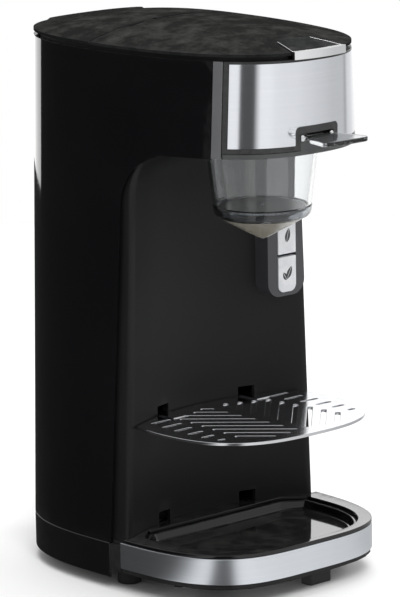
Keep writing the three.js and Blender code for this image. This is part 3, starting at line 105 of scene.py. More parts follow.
# Front of the column
LAND_Y = -22.0
HOLLOW = 17.5
LAND_WIDTH = 4.1
COVE_Z = 229.0
COVE_HEIGHT = 33.0
COVE_DEPTH = 40.0
COVER_COVE_Z = 236.0
COVER_COVE = 26.0
EDGE_FOOT_Y = -10.6
EDGE_HEAD_Y = -16.2

# Head and infuser
HEAD_PANEL_Y = -77.8
TRIM_Y = -83.2
FRAME_Y = -83.5
STEEL_Y = -86.1
STEEL_Z = 268.0
STEEL_TOP = 316.0
INFUSER_Y = -61.0

# Walls of the lower body and the back
REAR_HALF = 38.0
PANEL_WALL = 2.2
BAND_WALL = 1.6
BAND_BACK_Y = -19.0
SKIRT_FRONT_Y = -9.8

# Back and screws
VENT_SLOTS = 6
VENT_Z = 76.0
VENT_PITCH = 7.0
VENT_HALF = 20.0
VENT_HEIGHT = 2.4
GLAND_Z = 50.0
GLAND_RADIUS = 7.0
GLAND_LENGTH = 9.0
GLAND_RIBS = 3
GLAND_RIB_START = 2.2
GLAND_RIB_PITCH = 2.0
GLAND_GROOVE = ((0.0, 0.0), (-0.7, 0.25), (-0.7, 0.75), (0.0, 1.0))
CORD_RADIUS = 3.4
REAR_SCREW_X = 30.0
REAR_SCREW_MARGIN = 14.0
SCREW_RADIUS = 3.0
SCREW_SHANK = 1.4
SCREW_HEAD = 1.6
SCREW_LENGTH = 7.0
SCREW_POINT = 0.8
SCREW_ROUND = 0.3
CROSS_ARM = 1.7
CROSS_HALF = 0.4
CROSS_DEPTH = 0.6
FRONT_SCREW_X = 64.5
FRONT_SCREW_Y = -55.0
BACK_SCREW_X = 60.0
BACK_SCREW_Y = 45.0

# Tray, as offsets (inward, upward) from the corners of its section
RECESS_HALF = 66.0
RECESS_Y = -27.0
RECESS_FRONT = -97.5
RECESS_POWER = 3.2
RECESS_REAR_HALF = 54.3
RECESS_REAR_Y = -17.2
TRAY_Z = 23.4
TRAY_TOP = 30.3
TRAY_FLOOR = 2.0
TRAY_GAP = 0.6
TRAY_FLANGE = 1.8
TRAY_DRAFT = 1.0
TRAY_FOOT_ROUND = ((0.6, 0.0), (0.15, 0.2), (0.0, 0.7))
TRAY_RIM_ROUND = ((0.0, -0.8), (0.15, -0.25), (0.5, 0.0))
TRAY_LIP_ROUND = ((-0.7, 0.0), (-0.2, -0.2), (0.0, -0.7))
TRAY_BASIN_ROUND = ((-0.2, 1.6), (0.2, 0.7), (0.9, 0.2), (1.9, 0.0))

# Shelf
SHELF_TOP = 98.3
SHELF_THICK = 1.8
SHELF_HALF = 67.45
SHELF_MIDDLE_Y = -40.0
SHELF_FRONT_Y = -105.6
SHELF_POWER = 2.8
SHELF_REAR_HALF = 65.45
SHELF_GAP = 1.0
HOOK_X = 33.5
HOOK_HALF = 5.0
HOOK_END_Y = -3.2
HOOK_FRONT_Y = -24.0
HOOK_RISE = 0.8
HOOK_BEND = ((0.8, 0.0), (0.2, -0.25), (0.0, -0.9))
HOOK_SLOT = 7.6
LOWER_SLOT_Z = 31.5
DASHES = (15.4, 14.8, 13.2, 11.4, 9.2, 5.2)
DASH_Y = -22.7
DASH_PITCH = 11.5
DASH_WIDTH = 2.6
DASH_PLACES = (47.25, 48.85, 50.65, 51.35, 52.25, 52.05)
VEINS = 9
VEIN_FIRST = 26.4
VEIN_PITCH = 11.83
VEIN_WIDTH = 3.1
VEIN_INNER_X = 4.0
VEIN_OUTER_X = 30.0
VEIN_SPREAD = 0.094
VEIN_MARGIN = 9.0
VEIN_REAR_MARGIN = 12.0
VEIN_TAPER = 0.72

# Column front, its strip and its keys
COVER_INSET = 2.6
COVER_TUCK = 3.0
COVER_CORNER = 2.4
COVER_WALL = 2.5
INFUSER_ROOM = 36.0
INFUSER_ROOM_Z = 200.0
STRIP_X = 40.3
STRIP_Z = 157.9
STRIP_CORNER = 9.5
STRIP_MARGIN = 0.4
STRIP_PROUD = 0.05
STRIP_BACK_Y = -10.6
KEY_X = 55.6
KEY_HALF = 7.2
KEY_HEIGHT = 21.5
KEY_CORNER = 4.4
KEY_SMALL_CORNER = 0.25
KEY_PROUD = 0.6
KEY_CAP = 4.0
KEY_STEM = 2.5
STEM_END_Y = -13.7
STRONG_Z = 160.3
LIGHT_Z = 183.6

# Leaf marks: offset from the key's middle, length, half width and turn in degrees
STRONG_LEAVES = ((-1.9, -1.0, 5.6, 1.45, 32.0), (1.7, 0.9, 8.2, 1.75, -28.0))
LIGHT_LEAVES = ((0.6, 0.4, 8.6, 1.9, -14.0),)
LEAF_VEIN = 0.16
LEAF_STEPS = 14
LEAF_VEIN_SHARES = (0.92, 0.12)
LEAF_PROUD = 0.04
LEAF_ROOT = 0.3

# Head front
FRAME_Z = 265.0
FRAME_WALL = 3.0
POCKET_DEPTH = 1.1
POCKET_REACH = 2.0
STEEL_WALL = 0.8
NOTCH_HALF = 16.4
NOTCH_HEIGHT = 16.6
NOTCH_CORNER = 3.0
NOTCH_FOOT = 0.1
NOTCH_SIDE = 3.2
NOTCH_TOP = 4.1
HEAD_LAP = 5.0

# Drawer, infuser and handle
DRAWER_TOP = 264.7
DRAWER_LIP = 1.35
RUN_HALF = 41.1
DRAWER_HALF = 44.0
DRAWER_BACK_Y = -20.0
TONGUE_HALF = 12.9
TONGUE_TOP = 269.7
TONGUE_FOOT = 0.4
CHAMBER_TOP_RADIUS = 33.0
CHAMBER_BOTTOM_RADIUS = 28.7
CHAMBER_BOTTOM = 226.5
CHAMBER_TOP = 263.4
CHAMBER_WALL = 1.8
CHAMBER_FLANGE = 3.0
CHAMBER_ROUND = 0.4
FLANGE_TOP = 264.6
FLANGE_ROUND = 0.3
RING_RADIUS = 28.9
RING_TOP = 226.2
RING_HEIGHT = 6.5
RING_LEDGE = 2.0
RING_FLOOR = 1.2
FILTER_THICK = 0.8
FILTER_ROUND = 0.2
CONE_RIM = 25.4
CONE_TOP = 219.4
CONE_DROP = 12.5
CONE_WALL = 1.4
CONE_TIP = 3.0
CONE_BORE = 1.7
VALVE_RADIUS = 1.2
VALVE_HEAD = 3.6
VALVE_SEAT_SHARE = 0.86
VALVE_SEAT_RISE = 3.64
# Ends of the valve, each point as a share of its stem's radius and a height
VALVE_TIP = ((0.0, -1.0), (0.6, -0.9), (1.0, -0.4))
VALVE_KNOB = ((1.0, 1.6), (0.6, 2.0), (0.0, 2.0))
VALVE_HEAD_RISES = (1.6, 2.6, 3.2)
HANDLE_Z = 270.0
HANDLE_THICK = 2.7
HANDLE_REACH = 134.2
HANDLE_ROOT = 9.6
HANDLE_FRONT = 17.0
HANDLE_CORNER = 5.0
HANDLE_NECK = 0.5
HANDLE_SHOULDER = 14.4
HANDLE_SPREAD = 8.0
PIN_RADIUS = 1.5
PIN_HEIGHT = 4.2
PIN_DOME = 1.4
PIN_DOME_RISE = 1.6
PIN_SETBACK = 1.0

# Lid and rear cover
FAN_STEPS = 26
FAN_POWER = 1.15
KNUCKLE = 2.2
KNUCKLE_HALF = 9.0
HINGE_HALF = 18.0
PIN_SIZE = 1.0
VENT_HALF_X = 24.0
VENT_Y = 66.0
VENT_RISE = 0.9
VENT_SLOPE = 1.2
GRIP_FRONT = 20.0
GRIP_BACK = 13.0
GRIP_REACH = 4.0
GRIP_BOW = 2.6
GRIP_DEPTH = 27.0
GRIP_DROP = 2.1
GRIP_RISE = 0.8
GRIP_RAIL = 0.5
# Beads that paint the highlight line along the lower edges of the lid and rear cover
BEAD_RADIUS = 0.4
BEAD_MARGIN = 1.0

# Feet. The profile of a round foot's underside is in offsets from its rim
FOOT_HEIGHT = 9.5
FOOT_RADIUS = 7.0
FOOT_DISH = 0.5
FOOT_UNDERSIDE = ((-2.2, 0.5), (-1.8, 0.0), (-0.6, 0.0), (-0.15, 0.4), (0.0, 1.2))
SIDE_FOOT_X = 59.0
SIDE_FOOT_Y = -5.0
REAR_FOOT_X = 42.0
REAR_FOOT_Y = 70.0
FRONT_FOOT_X = 18.0
FRONT_FOOT_Y = -84.0
FRONT_FOOT_HALVES = (8.5, 4.5)
FRONT_FOOT_CORNER = 1.6

# Stage and camera, in metres and radians
FLOOR_RADIUS = 1.1
FLOOR_TONE = (0.95, 0.95, 0.95)
WORLD_LIGHT = 0.6
WORLD_GLOSS = 0.75
BACKDROP_GLOW = 2.2
SURROUNDINGS_PROFILE = ((0.01, 0.0015), (5.0, 0.0015), (5.2, 0.3))
FAR_FLOOR_PROFILE = ((1.45, 0.004), (4.9, 0.004))
BACK_WINDOW_PROFILE = ((4.5, 1.2), (4.5, 1.85))
# Name, place, what it points at, size and power of each lamp
LAMPS = (
    ("key_lamp", (-1.4, -2.2, 2.6), (0, 0, 0.15), 1.6, 55.0),
    ("side_lamp", (2.4, -1.6, 1.8), (0, 0, 0.15), 1.4, 30.0),
    ("top_lamp", (0.2, 0.4, 3.0), (0, 0, 0.1), 2.4, 40.0),
)
# Directions round the object in degrees from +X towards +Y, each with its grey level in reflections
SURROUNDINGS = (
    ((0, 0.77), (8, 0.82), (17, 0.88), (25, 1.0), (46, 1.0), (50, 0.04), (188, 0.04), (196, 0.3))
    + ((203, 0.9), (208, 1.0), (216, 1.0), (218, 0.08), (234, 0.08), (238, 0.6), (242, 1.0))
    + ((254, 1.0), (262, 0.92), (276, 0.88), (290, 0.86), (300, 0.8), (308, 0.76), (313, 0.7))
    + ((325, 0.62), (346, 0.61), (352, 0.45), (354, 0.45), (357, 0.66), (360, 0.77))
)
CAMERA_AT = (-1.55367, -1.71191, 0.65647)
CAMERA_YAW = 0.734049714
CAMERA_PITCH = 0.209949992
CAMERA_ROLL = -0.0161044695
CAMERA_LENS = 241.126
SENSOR_WIDTH = 36.0

# Finishes
WHITE = (1.0, 1.0, 1.0, 1.0)
DUST_TONE = (0.42, 0.41, 0.39)
DUST_SHARE = 0.12
# Share of the lighter edge tone: part rubbed wear, part painted highlight
RUB_AND_HIGHLIGHT_SHARE = 0.25
FLAT_EDGE = 0.52
SIDES = ((-1, "left"), (1, "right"))
LOOK = {}


def plain(value):
    """Nested bounds as lists of numbers."""
    if isinstance(value, (int, float)):
        return float(value)
    return [plain(item) for item in value]


def to_frame(points):
    """Millimetres about the body's middle to metres in the row frame."""
    moved = np.asarray(points, float).reshape(-1, 3) + (0.0, SHIFT, 0.0)
    return moved * MM


def signed_power(value, power):
    return np.sign(value) * np.abs(value) ** power


def spread(start, end, count):
    """Evenly spaced values from start to end."""
    return [start + (end - start) * i / count for i in range(count + 1)]


def offsets(u0, v0, steps):
    """Points given by their offsets from a corner."""
    return [(u0 + u, v0 + v) for u, v in steps]


def bisect(low, high, rising):
    """Value between low and high where a test that starts true turns false."""
    for _ in range(40):
        middle = (low + high) / 2
        low, high = (middle, high) if rising(middle) else (low, middle)
    return (low + high) / 2


def oval(angle, half, front, back, front_power, inset):
    """Point of the half-oval plan at an angle, as in the part's own outline."""
    c, s = math.cos(angle), math.sin(angle)
    power = front_power if s < 0 else BACK_POWER
    depth = (front if s < 0 else back) - inset
    reach = (abs(c) ** power + abs(s) ** power) ** (-1.0 / power)
    return (half - inset) * reach * c, WIDEST_Y + depth * reach * s


def body_point(angle, z, inset=0.0):
    """Point on the body at an angle and a height."""
    share = min(1.0, max(0.0, (z - SKIRT_TOP) / (PANEL_TOP - SKIRT_TOP)))
    low = oval(angle, BASE_HALF, BASE_FRONT, BACK, BASE_FRONT_POWER, inset)
    high = oval(angle, TOP_HALF, TOP_FRONT, BACK, TOP_FRONT_POWER, inset)
    return low[0] + (high[0] - low[0]) * share, low[1] + (high[1] - low[1]) * share, z


def angle_at(y, z, inset=0.0):
    """Angle on the right half where the body's outline has this Y."""
    return bisect(-math.pi / 2, math.pi / 2, lambda angle: body_point(angle, z, inset)[1] < y)


def rear_angle(half, z):
    """Angle on the right half of the back where the outline has this X."""
    return bisect(0.0, math.pi / 2, lambda angle: body_point(angle, z)[0] > half)


def front_angles(y, z, count=120):
    """Angles round the front, from the left point at this Y to the right one."""
    end = angle_at(y, z)
    return spread(-math.pi - end, end, count)


def back_angles(start, count=150):
    """Angles round the back, from one on the right to its mirror on the left."""
    return spread(start, math.pi - start, count)


def side_limit(y, z, inset):
    """Half width of the body at this Y and height."""
    return body_point(angle_at(y, z, inset), z, inset)[0]


def cover_half(z):
    share = (z - SKIRT_TOP) / (PANEL_TOP - SKIRT_TOP)
    return BASE_HALF + (TOP_HALF - BASE_HALF) * share - COVER_INSET


def hollow_half(z):
    return cover_half(z) - LAND_WIDTH


def hollow_y(x, z):
    """The column's hollow face in plan, at a height."""
    share = min(1.0, abs(x) / hollow_half(z))
    return LAND_Y + HOLLOW * (1 - share * share)


def quarter_round(share):
    rise = min(1.0, max(0.0, share))
    return 1 - math.sqrt(1 - rise * rise)


def edge_y(z):
    """Front edge of the side panels at a height."""
    if z >= HEAD_Z:
        return HEAD_PANEL_Y
    straight = EDGE_FOOT_Y + (EDGE_HEAD_Y - EDGE_FOOT_Y) * min(1.0, (z - PANEL_Z) / (COVE_Z - PANEL_Z))
    return straight - COVE_DEPTH * quarter_round((z - COVE_Z) / COVE_HEIGHT)


def rear_face_y(x):
    share = abs(x) / TOP_HALF
    return WIDEST_Y + BACK * (1 - share**BACK_POWER) ** (1 / BACK_POWER)


def round_levels(start, height, count):
    return [start + height * math.sin(math.pi * i / (2 * count)) for i in range(count + 1)]


def front_arc(half, middle_y, depth, power, count):
    """Rounded front of a plan, from its left end to its right one."""
    points = []
    for angle in spread(math.pi, 2 * math.pi, count):
        c = signed_power(math.cos(angle), 2 / power)
        s = signed_power(math.sin(angle), 2 / power)
        points.append((half * c, middle_y + depth * s))
    return points


def recess_loop(inset, z):
    """Closed outline of the tray's recess, drawn in by an inset."""
    depth = RECESS_Y - RECESS_FRONT - inset
    front = front_arc(RECESS_HALF - inset, RECESS_Y, depth, RECESS_POWER, 96)
    rear = RECESS_REAR_HALF - inset
    back = [(x, RECESS_REAR_Y - inset) for x in spread(rear, -rear, 40)]
    return [(x, y, z) for x, y in front + back]


def arc(cx, cy, radius, start, end, steps=6):
    """Points of an arc, angles in degrees."""
    turns = [math.radians(angle) for angle in spread(start, end, steps)]
    return [(cx + radius * math.cos(turn), cy + radius * math.sin(turn)) for turn in turns]


def rounded_box(x0, x1, y0, y1, radii, steps=6):
    """Rounded rectangle; radii start at the low corner of both and go round."""
    a, b, c, d = radii
    low = arc(x0 + a, y0 + a, a, 180, 270, steps) + arc(x1 - b, y0 + b, b, 270, 360, steps)
    return low + arc(x1 - c, y1 - c, c, 0, 90, steps) + arc(x0 + d, y1 - d, d, 90, 180, steps)


def turn_and_move(points, angle, x, y):
    c, s = math.cos(angle), math.sin(angle)
    return [(x + u * c - v * s, y + u * s + v * c) for u, v in points]


def linked(name, data):
    obj = bpy.data.objects.new(name, data)
    bpy.context.scene.collection.objects.link(obj)
    return obj


def made_mesh(obj):
    """An object's mesh with its modifiers worked out."""
    graph = bpy.context.evaluated_depsgraph_get()
    return bpy.data.meshes.new_from_object(obj.evaluated_get(graph))


def piece_name(name):
    """Name of a piece: its solid's own name with a word added."""
    return name + "_dressed" if name in bpy.data.objects else name


def finish_mesh(name, points, faces, bevel=0.0, segments=2, sharp=40.0):
    """A closed mesh from points in millimetres, with rounded edges where they turn sharply."""
    mesh = bpy.data.meshes.new(name)
    mesh.from_pydata([tuple(p) for p in to_frame(points)], [], faces)
    obj = linked(piece_name(name), mesh)
    tidy_mesh(obj)
    round_edges(obj, bevel, segments, sharp)
    return obj


def tidy_mesh(obj):
    """Merges points that meet and turns every face outward."""
    work = bmesh.new()
    work.from_mesh(obj.data)
    bmesh.ops.remove_doubles(work, verts=work.verts, dist=1e-6)
    bmesh.ops.recalc_face_normals(work, faces=work.faces)
    if work.calc_volume(signed=True) < 0:
        bmesh.ops.reverse_faces(work, faces=work.faces)
    work.to_mesh(obj.data)
    work.free()


def round_edges(obj, bevel, segments=2, sharp=40.0):
    for face in obj.data.polygons:
        face.use_smooth = True
    obj.data.set_sharp_from_angle(angle=math.radians(sharp))
    if bevel > 0:
        edge = obj.modifiers.new("edge", "BEVEL")
        edge.width = bevel * MM
        edge.segments = segments
        edge.limit_method = "ANGLE"
        edge.angle_limit = math.radians(sharp)
        edge.use_clamp_overlap = True
        edge.miter_outer = "MITER_ARC"
        edge.harden_normals = True
    flatten = obj.modifiers.new("shading", "WEIGHTED_NORMAL")
    flatten.keep_sharp = True
    flatten.weight = 80


def apply_all(obj):
    """Turns an object's modifiers into its mesh."""
    made = made_mesh(obj)
    obj.modifiers.clear()
    obj.data = made


def grid_faces(rows, columns, closed=False):
    faces = []
    for r in range(rows - 1):
        for c in range(columns if closed else columns - 1):
            d = (c + 1) % columns
            faces.append((r * columns + c, r * columns + d, (r + 1) * columns + d, (r + 1) * columns + c))
    return faces


def slab_of(name, outer, inner, bevel=0.4, **more):
    """A sheet with thickness between two grids of points of the same size."""
    rows, columns = len(outer), len(outer[0])
    count = rows * columns
    points = [p for row in outer for p in row] + [p for row in inner for p in row]
    faces = grid_faces(rows, columns)
    faces += [tuple(count + i for i in reversed(f)) for f in grid_faces(rows, columns)]
    rim = list(range(columns))
    rim += [r * columns + columns - 1 for r in range(1, rows)]
    rim += [(rows - 1) * columns + c for c in range(columns - 2, -1, -1)]
    rim += [r * columns for r in range(rows - 2, 0, -1)]
    faces += [(a, count + a, count + b, b) for a, b in zip(rim, rim[1:] + rim[:1])]
    return finish_mesh(name, points, faces, bevel, **more)


def ring_stack(name, loops, bevel=0.0, ends="flat", **more):
    """A solid skinned over closed loops, whose end loops are flat faces, joined to each other or points."""
    columns = len(loops[0])
    faces = grid_faces(len(loops), columns, closed=True)
    last = (len(loops) - 1) * columns
    if ends == "joined":
        faces += [(last + c, last + (c + 1) % columns, (c + 1) % columns, c) for c in range(columns)]
    elif ends == "flat":
        faces.append(tuple(range(columns - 1, -1, -1)))
        faces.append(tuple(last + c for c in range(columns)))
    return finish_mesh(name, [p for loop in loops for p in loop], faces, bevel, **more)


def body_shell(name, z_levels, path_at, outer, inner, bevel=0.4):
    """A wall that follows the body. path_at(z) gives the angles along it."""
    outside = [[body_point(a, z, outer) for a in path_at(z)] for z in z_levels]
    inside = [[body_point(a, z, inner) for a in path_at(z)] for z in z_levels]
    return slab_of(name, outside, inside, bevel)


def turned(name, profile, x=0.0, y=0.0, sides=96, axis="Z"):
    """A turned piece. Profile points are (radius, height), on the axis at both ends or closed."""
    order = {"Z": (0, 1, 2), "Y": (0, 2, 1), "X": (2, 0, 1)}[axis]
    loops = []
    for radius, height in profile:
        loop = []
        for i in range(sides):
            angle = 2 * math.pi * i / sides
            spot = (x + radius * math.cos(angle), y + radius * math.sin(angle), height)
            loop.append(tuple(spot[place_of] for place_of in order))
        loops.append(loop)
    return ring_stack(name, loops, ends="points" if profile[0][0] < 1e-6 else "joined")


def rod(radius, x, y, start, end, sides=48, axis="Z"):
    """Plain round cutting or joining shape along an axis."""
    return turned("cutter", [(0, start), (radius, start), (radius, end), (0, end)], x, y, sides, axis)


def block(x0, x1, y0, y1, z0, z1):
    """Plain square cutting or joining shape."""
    corners = [(x, y, z) for z in (z0, z1) for y in (y0, y1) for x in (x0, x1)]
    faces = [(0, 2, 3, 1), (4, 5, 7, 6), (0, 1, 5, 4), (2, 6, 7, 3), (0, 4, 6, 2), (1, 3, 7, 5)]
    return finish_mesh("cutter", corners, faces)


def prism_y(name, outline, y0, y1, bevel=0.0):
    """Outline in X and Z carried along Y."""
    return ring_stack(name, [[(x, y, z) for x, z in outline] for y in (y0, y1)], bevel)


def draw_line(curve, points, cyclic):
    """Adds a line through points in metres to a curve."""
    line = curve.splines.new("POLY")
    line.points.add(len(points) - 1)
    for point, spot in zip(line.points, points):
        point.co = (*spot, 1.0)
    line.use_cyclic_u = cyclic


def curve_mesh(curve, height=0.0):
    """Mesh of a curve lifted to a height in metres."""
    source = linked("outline", curve)
    source.location.z = height
    bpy.context.view_layer.update()
    mesh = made_mesh(source)
    mesh.transform(source.matrix_world)
    bpy.data.objects.remove(source)
    return mesh


def plate(name, outlines, z0, z1, edge=0.3, rounding=2):
    """A flat plate with holes: the first outline is its edge, the others are holes, in plan."""
    curve = bpy.data.curves.new(name, "CURVE")
    curve.dimensions = "2D"
    curve.fill_mode = "BOTH"
    curve.extrude = ((z1 - z0) / 2 - edge) * MM
    curve.bevel_depth = edge * MM
    curve.bevel_resolution = rounding
    curve.offset = -edge * MM
    for outline in outlines:
        draw_line(curve, [(x * MM, (y + SHIFT) * MM, 0.0) for x, y in outline], True)
    obj = linked(piece_name(name), curve_mesh(curve, (z0 + z1) / 2 * MM))
    tidy_mesh(obj)
    round_edges(obj, 0.0)
    return obj


def bead(name, path, radius):
    """Thin round bead along a path."""
    curve = bpy.data.curves.new(name, "CURVE")
    curve.dimensions = "3D"
    curve.bevel_depth = radius * MM
    curve.bevel_resolution = 3
    curve.use_fill_caps = True
    draw_line(curve, to_frame(path), False)
    obj = linked(name, curve_mesh(curve))
    for face in obj.data.polygons:
        face.use_smooth = True
    return obj


def carve(obj, *cutters, operation="DIFFERENCE"):
    """Cuts or joins pieces into obj for good, then takes the cutters away."""
    rounding = [(m.width, m.segments) for m in obj.modifiers if m.type == "BEVEL"]
    obj.modifiers.clear()
    for cutter in cutters:
        apply_all(cutter)
        change = obj.modifiers.new("carve", "BOOLEAN")
        change.operation = operation
        change.solver = "EXACT"
        change.object = cutter
        bpy.context.view_layer.update()
        apply_all(obj)
        bpy.data.objects.remove(cutter)
    tidy_mesh(obj)
    width, segments = rounding[0] if rounding else (0.0, 2)
    round_edges(obj, width / MM, segments)


def join(obj, *others):
    carve(obj, *others, operation="UNION")


def place(obj, body, look, node=""):
    """Dresses a piece and sets it on its body in place of its solid, if it has one."""
    node = node or obj.name.removesuffix("_dressed")
    obj.data.materials.clear()
    obj.data.materials.append(LOOK[look])
    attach(obj, body)
    if node != obj.name:
        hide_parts(node)


def effect(name, label, kind, value, *outputs):
    """An empty shader node group with one input. Returns its tree, that input and its output sockets."""
    tree = bpy.data.node_groups.new(name, "ShaderNodeTree")
    tree.interface.new_socket(label, in_out="INPUT", socket_type=kind).default_value = value
    for output in outputs:
        tree.interface.new_socket(output, in_out="OUTPUT", socket_type="NodeSocketFloat")
    given = tree.nodes.new("NodeGroupInput").outputs[0]
    return tree, given, tree.nodes.new("NodeGroupOutput").inputs


def feed(tree, socket, value):
    """Sets a socket to a plain value or links another socket to it."""
    if isinstance(value, bpy.types.NodeSocket):
        tree.links.new(value, socket)
    else:
        socket.default_value = value


def add(tree, kind, inputs=None, **settings):
    """A node with its settings and what goes into its inputs."""
    node = tree.nodes.new(kind)
    for key, value in settings.items():
        setattr(node, key, value)
    for label, value in (inputs or {}).items():
        feed(tree, node.inputs[label], value)
    return node


def maths(tree, operation, *values):
    return add(tree, "ShaderNodeMath", dict(enumerate(values)), operation=operation).outputs[0]


def place_in_object(tree):
    return add(tree, "ShaderNodeTexCoord").outputs["Object"]


def noise(tree, where, scale, detail, **more):
    inputs = {"Vector": where, "Scale": scale, "Detail": detail, **more}
    return add(tree, "ShaderNodeTexNoise", inputs).outputs["Fac"]


def stretched(tree, where, factors):
    return add(tree, "ShaderNodeVectorMath", {0: where, 1: factors}, operation="MULTIPLY").outputs[0]


def ranged(tree, value, low, high, to_low=0.0, to_high=1.0):
    """A value stretched from low..high to to_low..to_high and held there."""
    inputs = {"Value": value, "From Min": low, "From Max": high, "To Min": to_low, "To Max": to_high}
    return add(tree, "ShaderNodeMapRange", inputs, clamp=True).outputs["Result"]


def make_moulded_grain():
    """Fine spark-eroded grain of moulded plastic."""
    tree, scale, out = effect("moulded grain", "Scale", "NodeSocketFloat", 2500.0, "Height", "Speckle")
    where = place_in_object(tree)
    fine = noise(tree, where, scale, 3.0)
    cells = add(tree, "ShaderNodeTexVoronoi", {"Vector": where, "Scale": scale}).outputs["Distance"]
    feed(tree, out["Height"], maths(tree, "MULTIPLY", fine, cells))
    feed(tree, out["Speckle"], ranged(tree, fine, 0.35, 0.65))
    return tree


def make_handling_marks():
    """Soft smudges left by hands and cloths."""
    tree, scale, out = effect("handling marks", "Scale", "NodeSocketFloat", 14.0, "Mask")
    cloud = noise(tree, place_in_object(tree), scale, 5.0, Roughness=0.62, Distortion=0.6)
    feed(tree, out["Mask"], ranged(tree, cloud, 0.42, 0.68))
    return tree


def make_settled_dust():
    """A thin film of dust on what faces up."""
    tree, scale, out = effect("settled dust", "Scale", "NodeSocketFloat", 60.0, "Mask")
    normal = add(tree, "ShaderNodeNewGeometry").outputs["Normal"]
    upward = ranged(tree, add(tree, "ShaderNodeSeparateXYZ", {0: normal}).outputs["Z"], 0.55, 1.0)
    specks = noise(tree, place_in_object(tree), scale, 8.0, Roughness=0.75)
    patches = ranged(tree, specks, 0.45, 0.75, 0.15, 1.0)
    feed(tree, out["Mask"], maths(tree, "MULTIPLY", upward, patches))
    return tree


def make_edge_rub_and_highlight():
    """Edges lighter: partly rubbed wear, partly a painted highlight along them."""
    tree, reach, out = effect("edge rub and painted highlight", "Reach", "NodeSocketFloat", 0.06, "Mask")
    point = add(tree, "ShaderNodeNewGeometry").outputs["Pointiness"]
    edge = ranged(tree, point, FLAT_EDGE, maths(tree, "ADD", FLAT_EDGE, reach))
    broken = ranged(tree, noise(tree, place_in_object(tree), 220.0, 3.0), 0.35, 0.6, 0.2, 1.0)
    feed(tree, out["Mask"], maths(tree, "MULTIPLY", edge, broken))
    return tree


def make_brush_lines():
    """Long parallel lines of a brushed metal. Stretch is dense across the lines and small along them."""
    start = (8.0, 8.0, 2200.0)
    tree, stretch, out = effect("brush lines", "Stretch", "NodeSocketVector", start, "Height", "Tone")
    where = stretched(tree, place_in_object(tree), stretch)
    feed(tree, out["Height"], noise(tree, where, 1.0, 6.0, Roughness=0.7))
    feed(tree, out["Tone"], ranged(tree, noise(tree, where, 0.22, 3.0), 0.3, 0.7))
    return tree


def make_woven_gauze():
    """Fine square gauze: wires over and under, with open squares between them."""
    tree, pitch, out = effect("woven gauze", "Pitch", "NodeSocketFloat", 5200.0, "Open", "Height")
    parts = add(tree, "ShaderNodeSeparateXYZ", {0: place_in_object(tree)}).outputs
    turns = [maths(tree, "MULTIPLY", parts[label], pitch) for label in ("X", "Y")]
    taller = maths(tree, "MAXIMUM", *[maths(tree, "SINE", turn) for turn in turns])
    feed(tree, out["Open"], ranged(tree, taller, -0.1, 0.15, 1.0, 0.0))
    feed(tree, out["Height"], taller)
    return tree


GRAIN = make_moulded_grain()
MARKS = make_handling_marks()
DUST = make_settled_dust()
RUB_AND_HIGHLIGHT = make_edge_rub_and_highlight()
BRUSH = make_brush_lines()
GAUZE = make_woven_gauze()


def use(tree, group, **values):
    """Outputs of a shared effect, with its own values."""
    node = tree.nodes.new("ShaderNodeGroup")
    node.node_tree = group
    for label, value in values.items():
        node.inputs[label].default_value = value
    return node.outputs


def start_material(name, **sockets):
    """A material with its Principled shader and the settings that are the same all over."""
    material = bpy.data.materials.new(name)
    material.use_nodes = True
    shader = material.node_tree.nodes["Principled BSDF"]
    for label, value in sockets.items():
        shader.inputs[label.replace("_", " ")].default_value = value
    LOOK[name] = material
    return material.node_tree, shader


def blend_colour(tree, factor, first, second):
    """Mixes two colours, or a socket and a colour, by a factor socket."""
    node = add(tree, "ShaderNodeMix", {"Factor": factor}, data_type="RGBA")
    for socket, colour in ((node.inputs[6], first), (node.inputs[7], second)):
        feed(tree, socket, (*colour, 1.0) if isinstance(colour, tuple) else colour)
    return node.outputs[2]


def bumped(tree, shader, height, strength, distance):
    bump = add(tree, "ShaderNodeBump", {"Height": height, "Strength": strength, "Distance": distance})
    feed(tree, shader.inputs["Normal"], bump.outputs["Normal"])


def plastic(name, colour, shade, rough, rough_span, grain, depth, **sockets):
    """Moulded plastic: grained, smudged by handling, a little dusty on top, and lighter at its edges, partly
    rubbed and partly a painted highlight.
    """
    tree, shader = start_material(name, **sockets)
    mark = use(tree, MARKS)["Mask"]
    texture = use(tree, GRAIN, Scale=grain)
    base = blend_colour(tree, mark, colour, shade)
    film = maths(tree, "MULTIPLY", use(tree, DUST)["Mask"], DUST_SHARE)
    dusty = blend_colour(tree, film, base, DUST_TONE)
    # Lighter edges: part rubbed wear, part painted highlight
    rub_and_highlight = maths(tree, "MULTIPLY", use(tree, RUB_AND_HIGHLIGHT)["Mask"], RUB_AND_HIGHLIGHT_SHARE)
    rub_and_highlight_tone = tuple(min(1.0, c * 2.2 + 0.02) for c in colour)
    feed(tree, shader.inputs["Base Color"], blend_colour(tree, rub_and_highlight, dusty, rub_and_highlight_tone))
    smudged = maths(tree, "MULTIPLY_ADD", mark, rough_span, rough)
    specked = maths(tree, "MULTIPLY_ADD", texture["Speckle"], rough_span * 0.5, smudged)
    feed(tree, shader.inputs["Roughness"], specked)
    bumped(tree, shader, texture["Height"], depth, 0.0001)


def metal(name, colour, shade, rough, rough_span, stretch, depth):
    """Brushed metal: fine lines in its height, tone and roughness, with faint smudges."""
    tree, shader = start_material(name, Metallic=1.0)
    lines = use(tree, BRUSH, Stretch=stretch)
    toned = blend_colour(tree, lines["Tone"], colour, shade)
    smudge = maths(tree, "MULTIPLY", use(tree, MARKS, Scale=9.0)["Mask"], 0.25)
    darker = tuple(c * 0.82 for c in colour)
    feed(tree, shader.inputs["Base Color"], blend_colour(tree, smudge, toned, darker))
    rougher = maths(tree, "MULTIPLY_ADD", lines["Height"], rough_span, rough)
    feed(tree, shader.inputs["Roughness"], rougher)
    bumped(tree, shader, lines["Height"], depth, 0.00005)


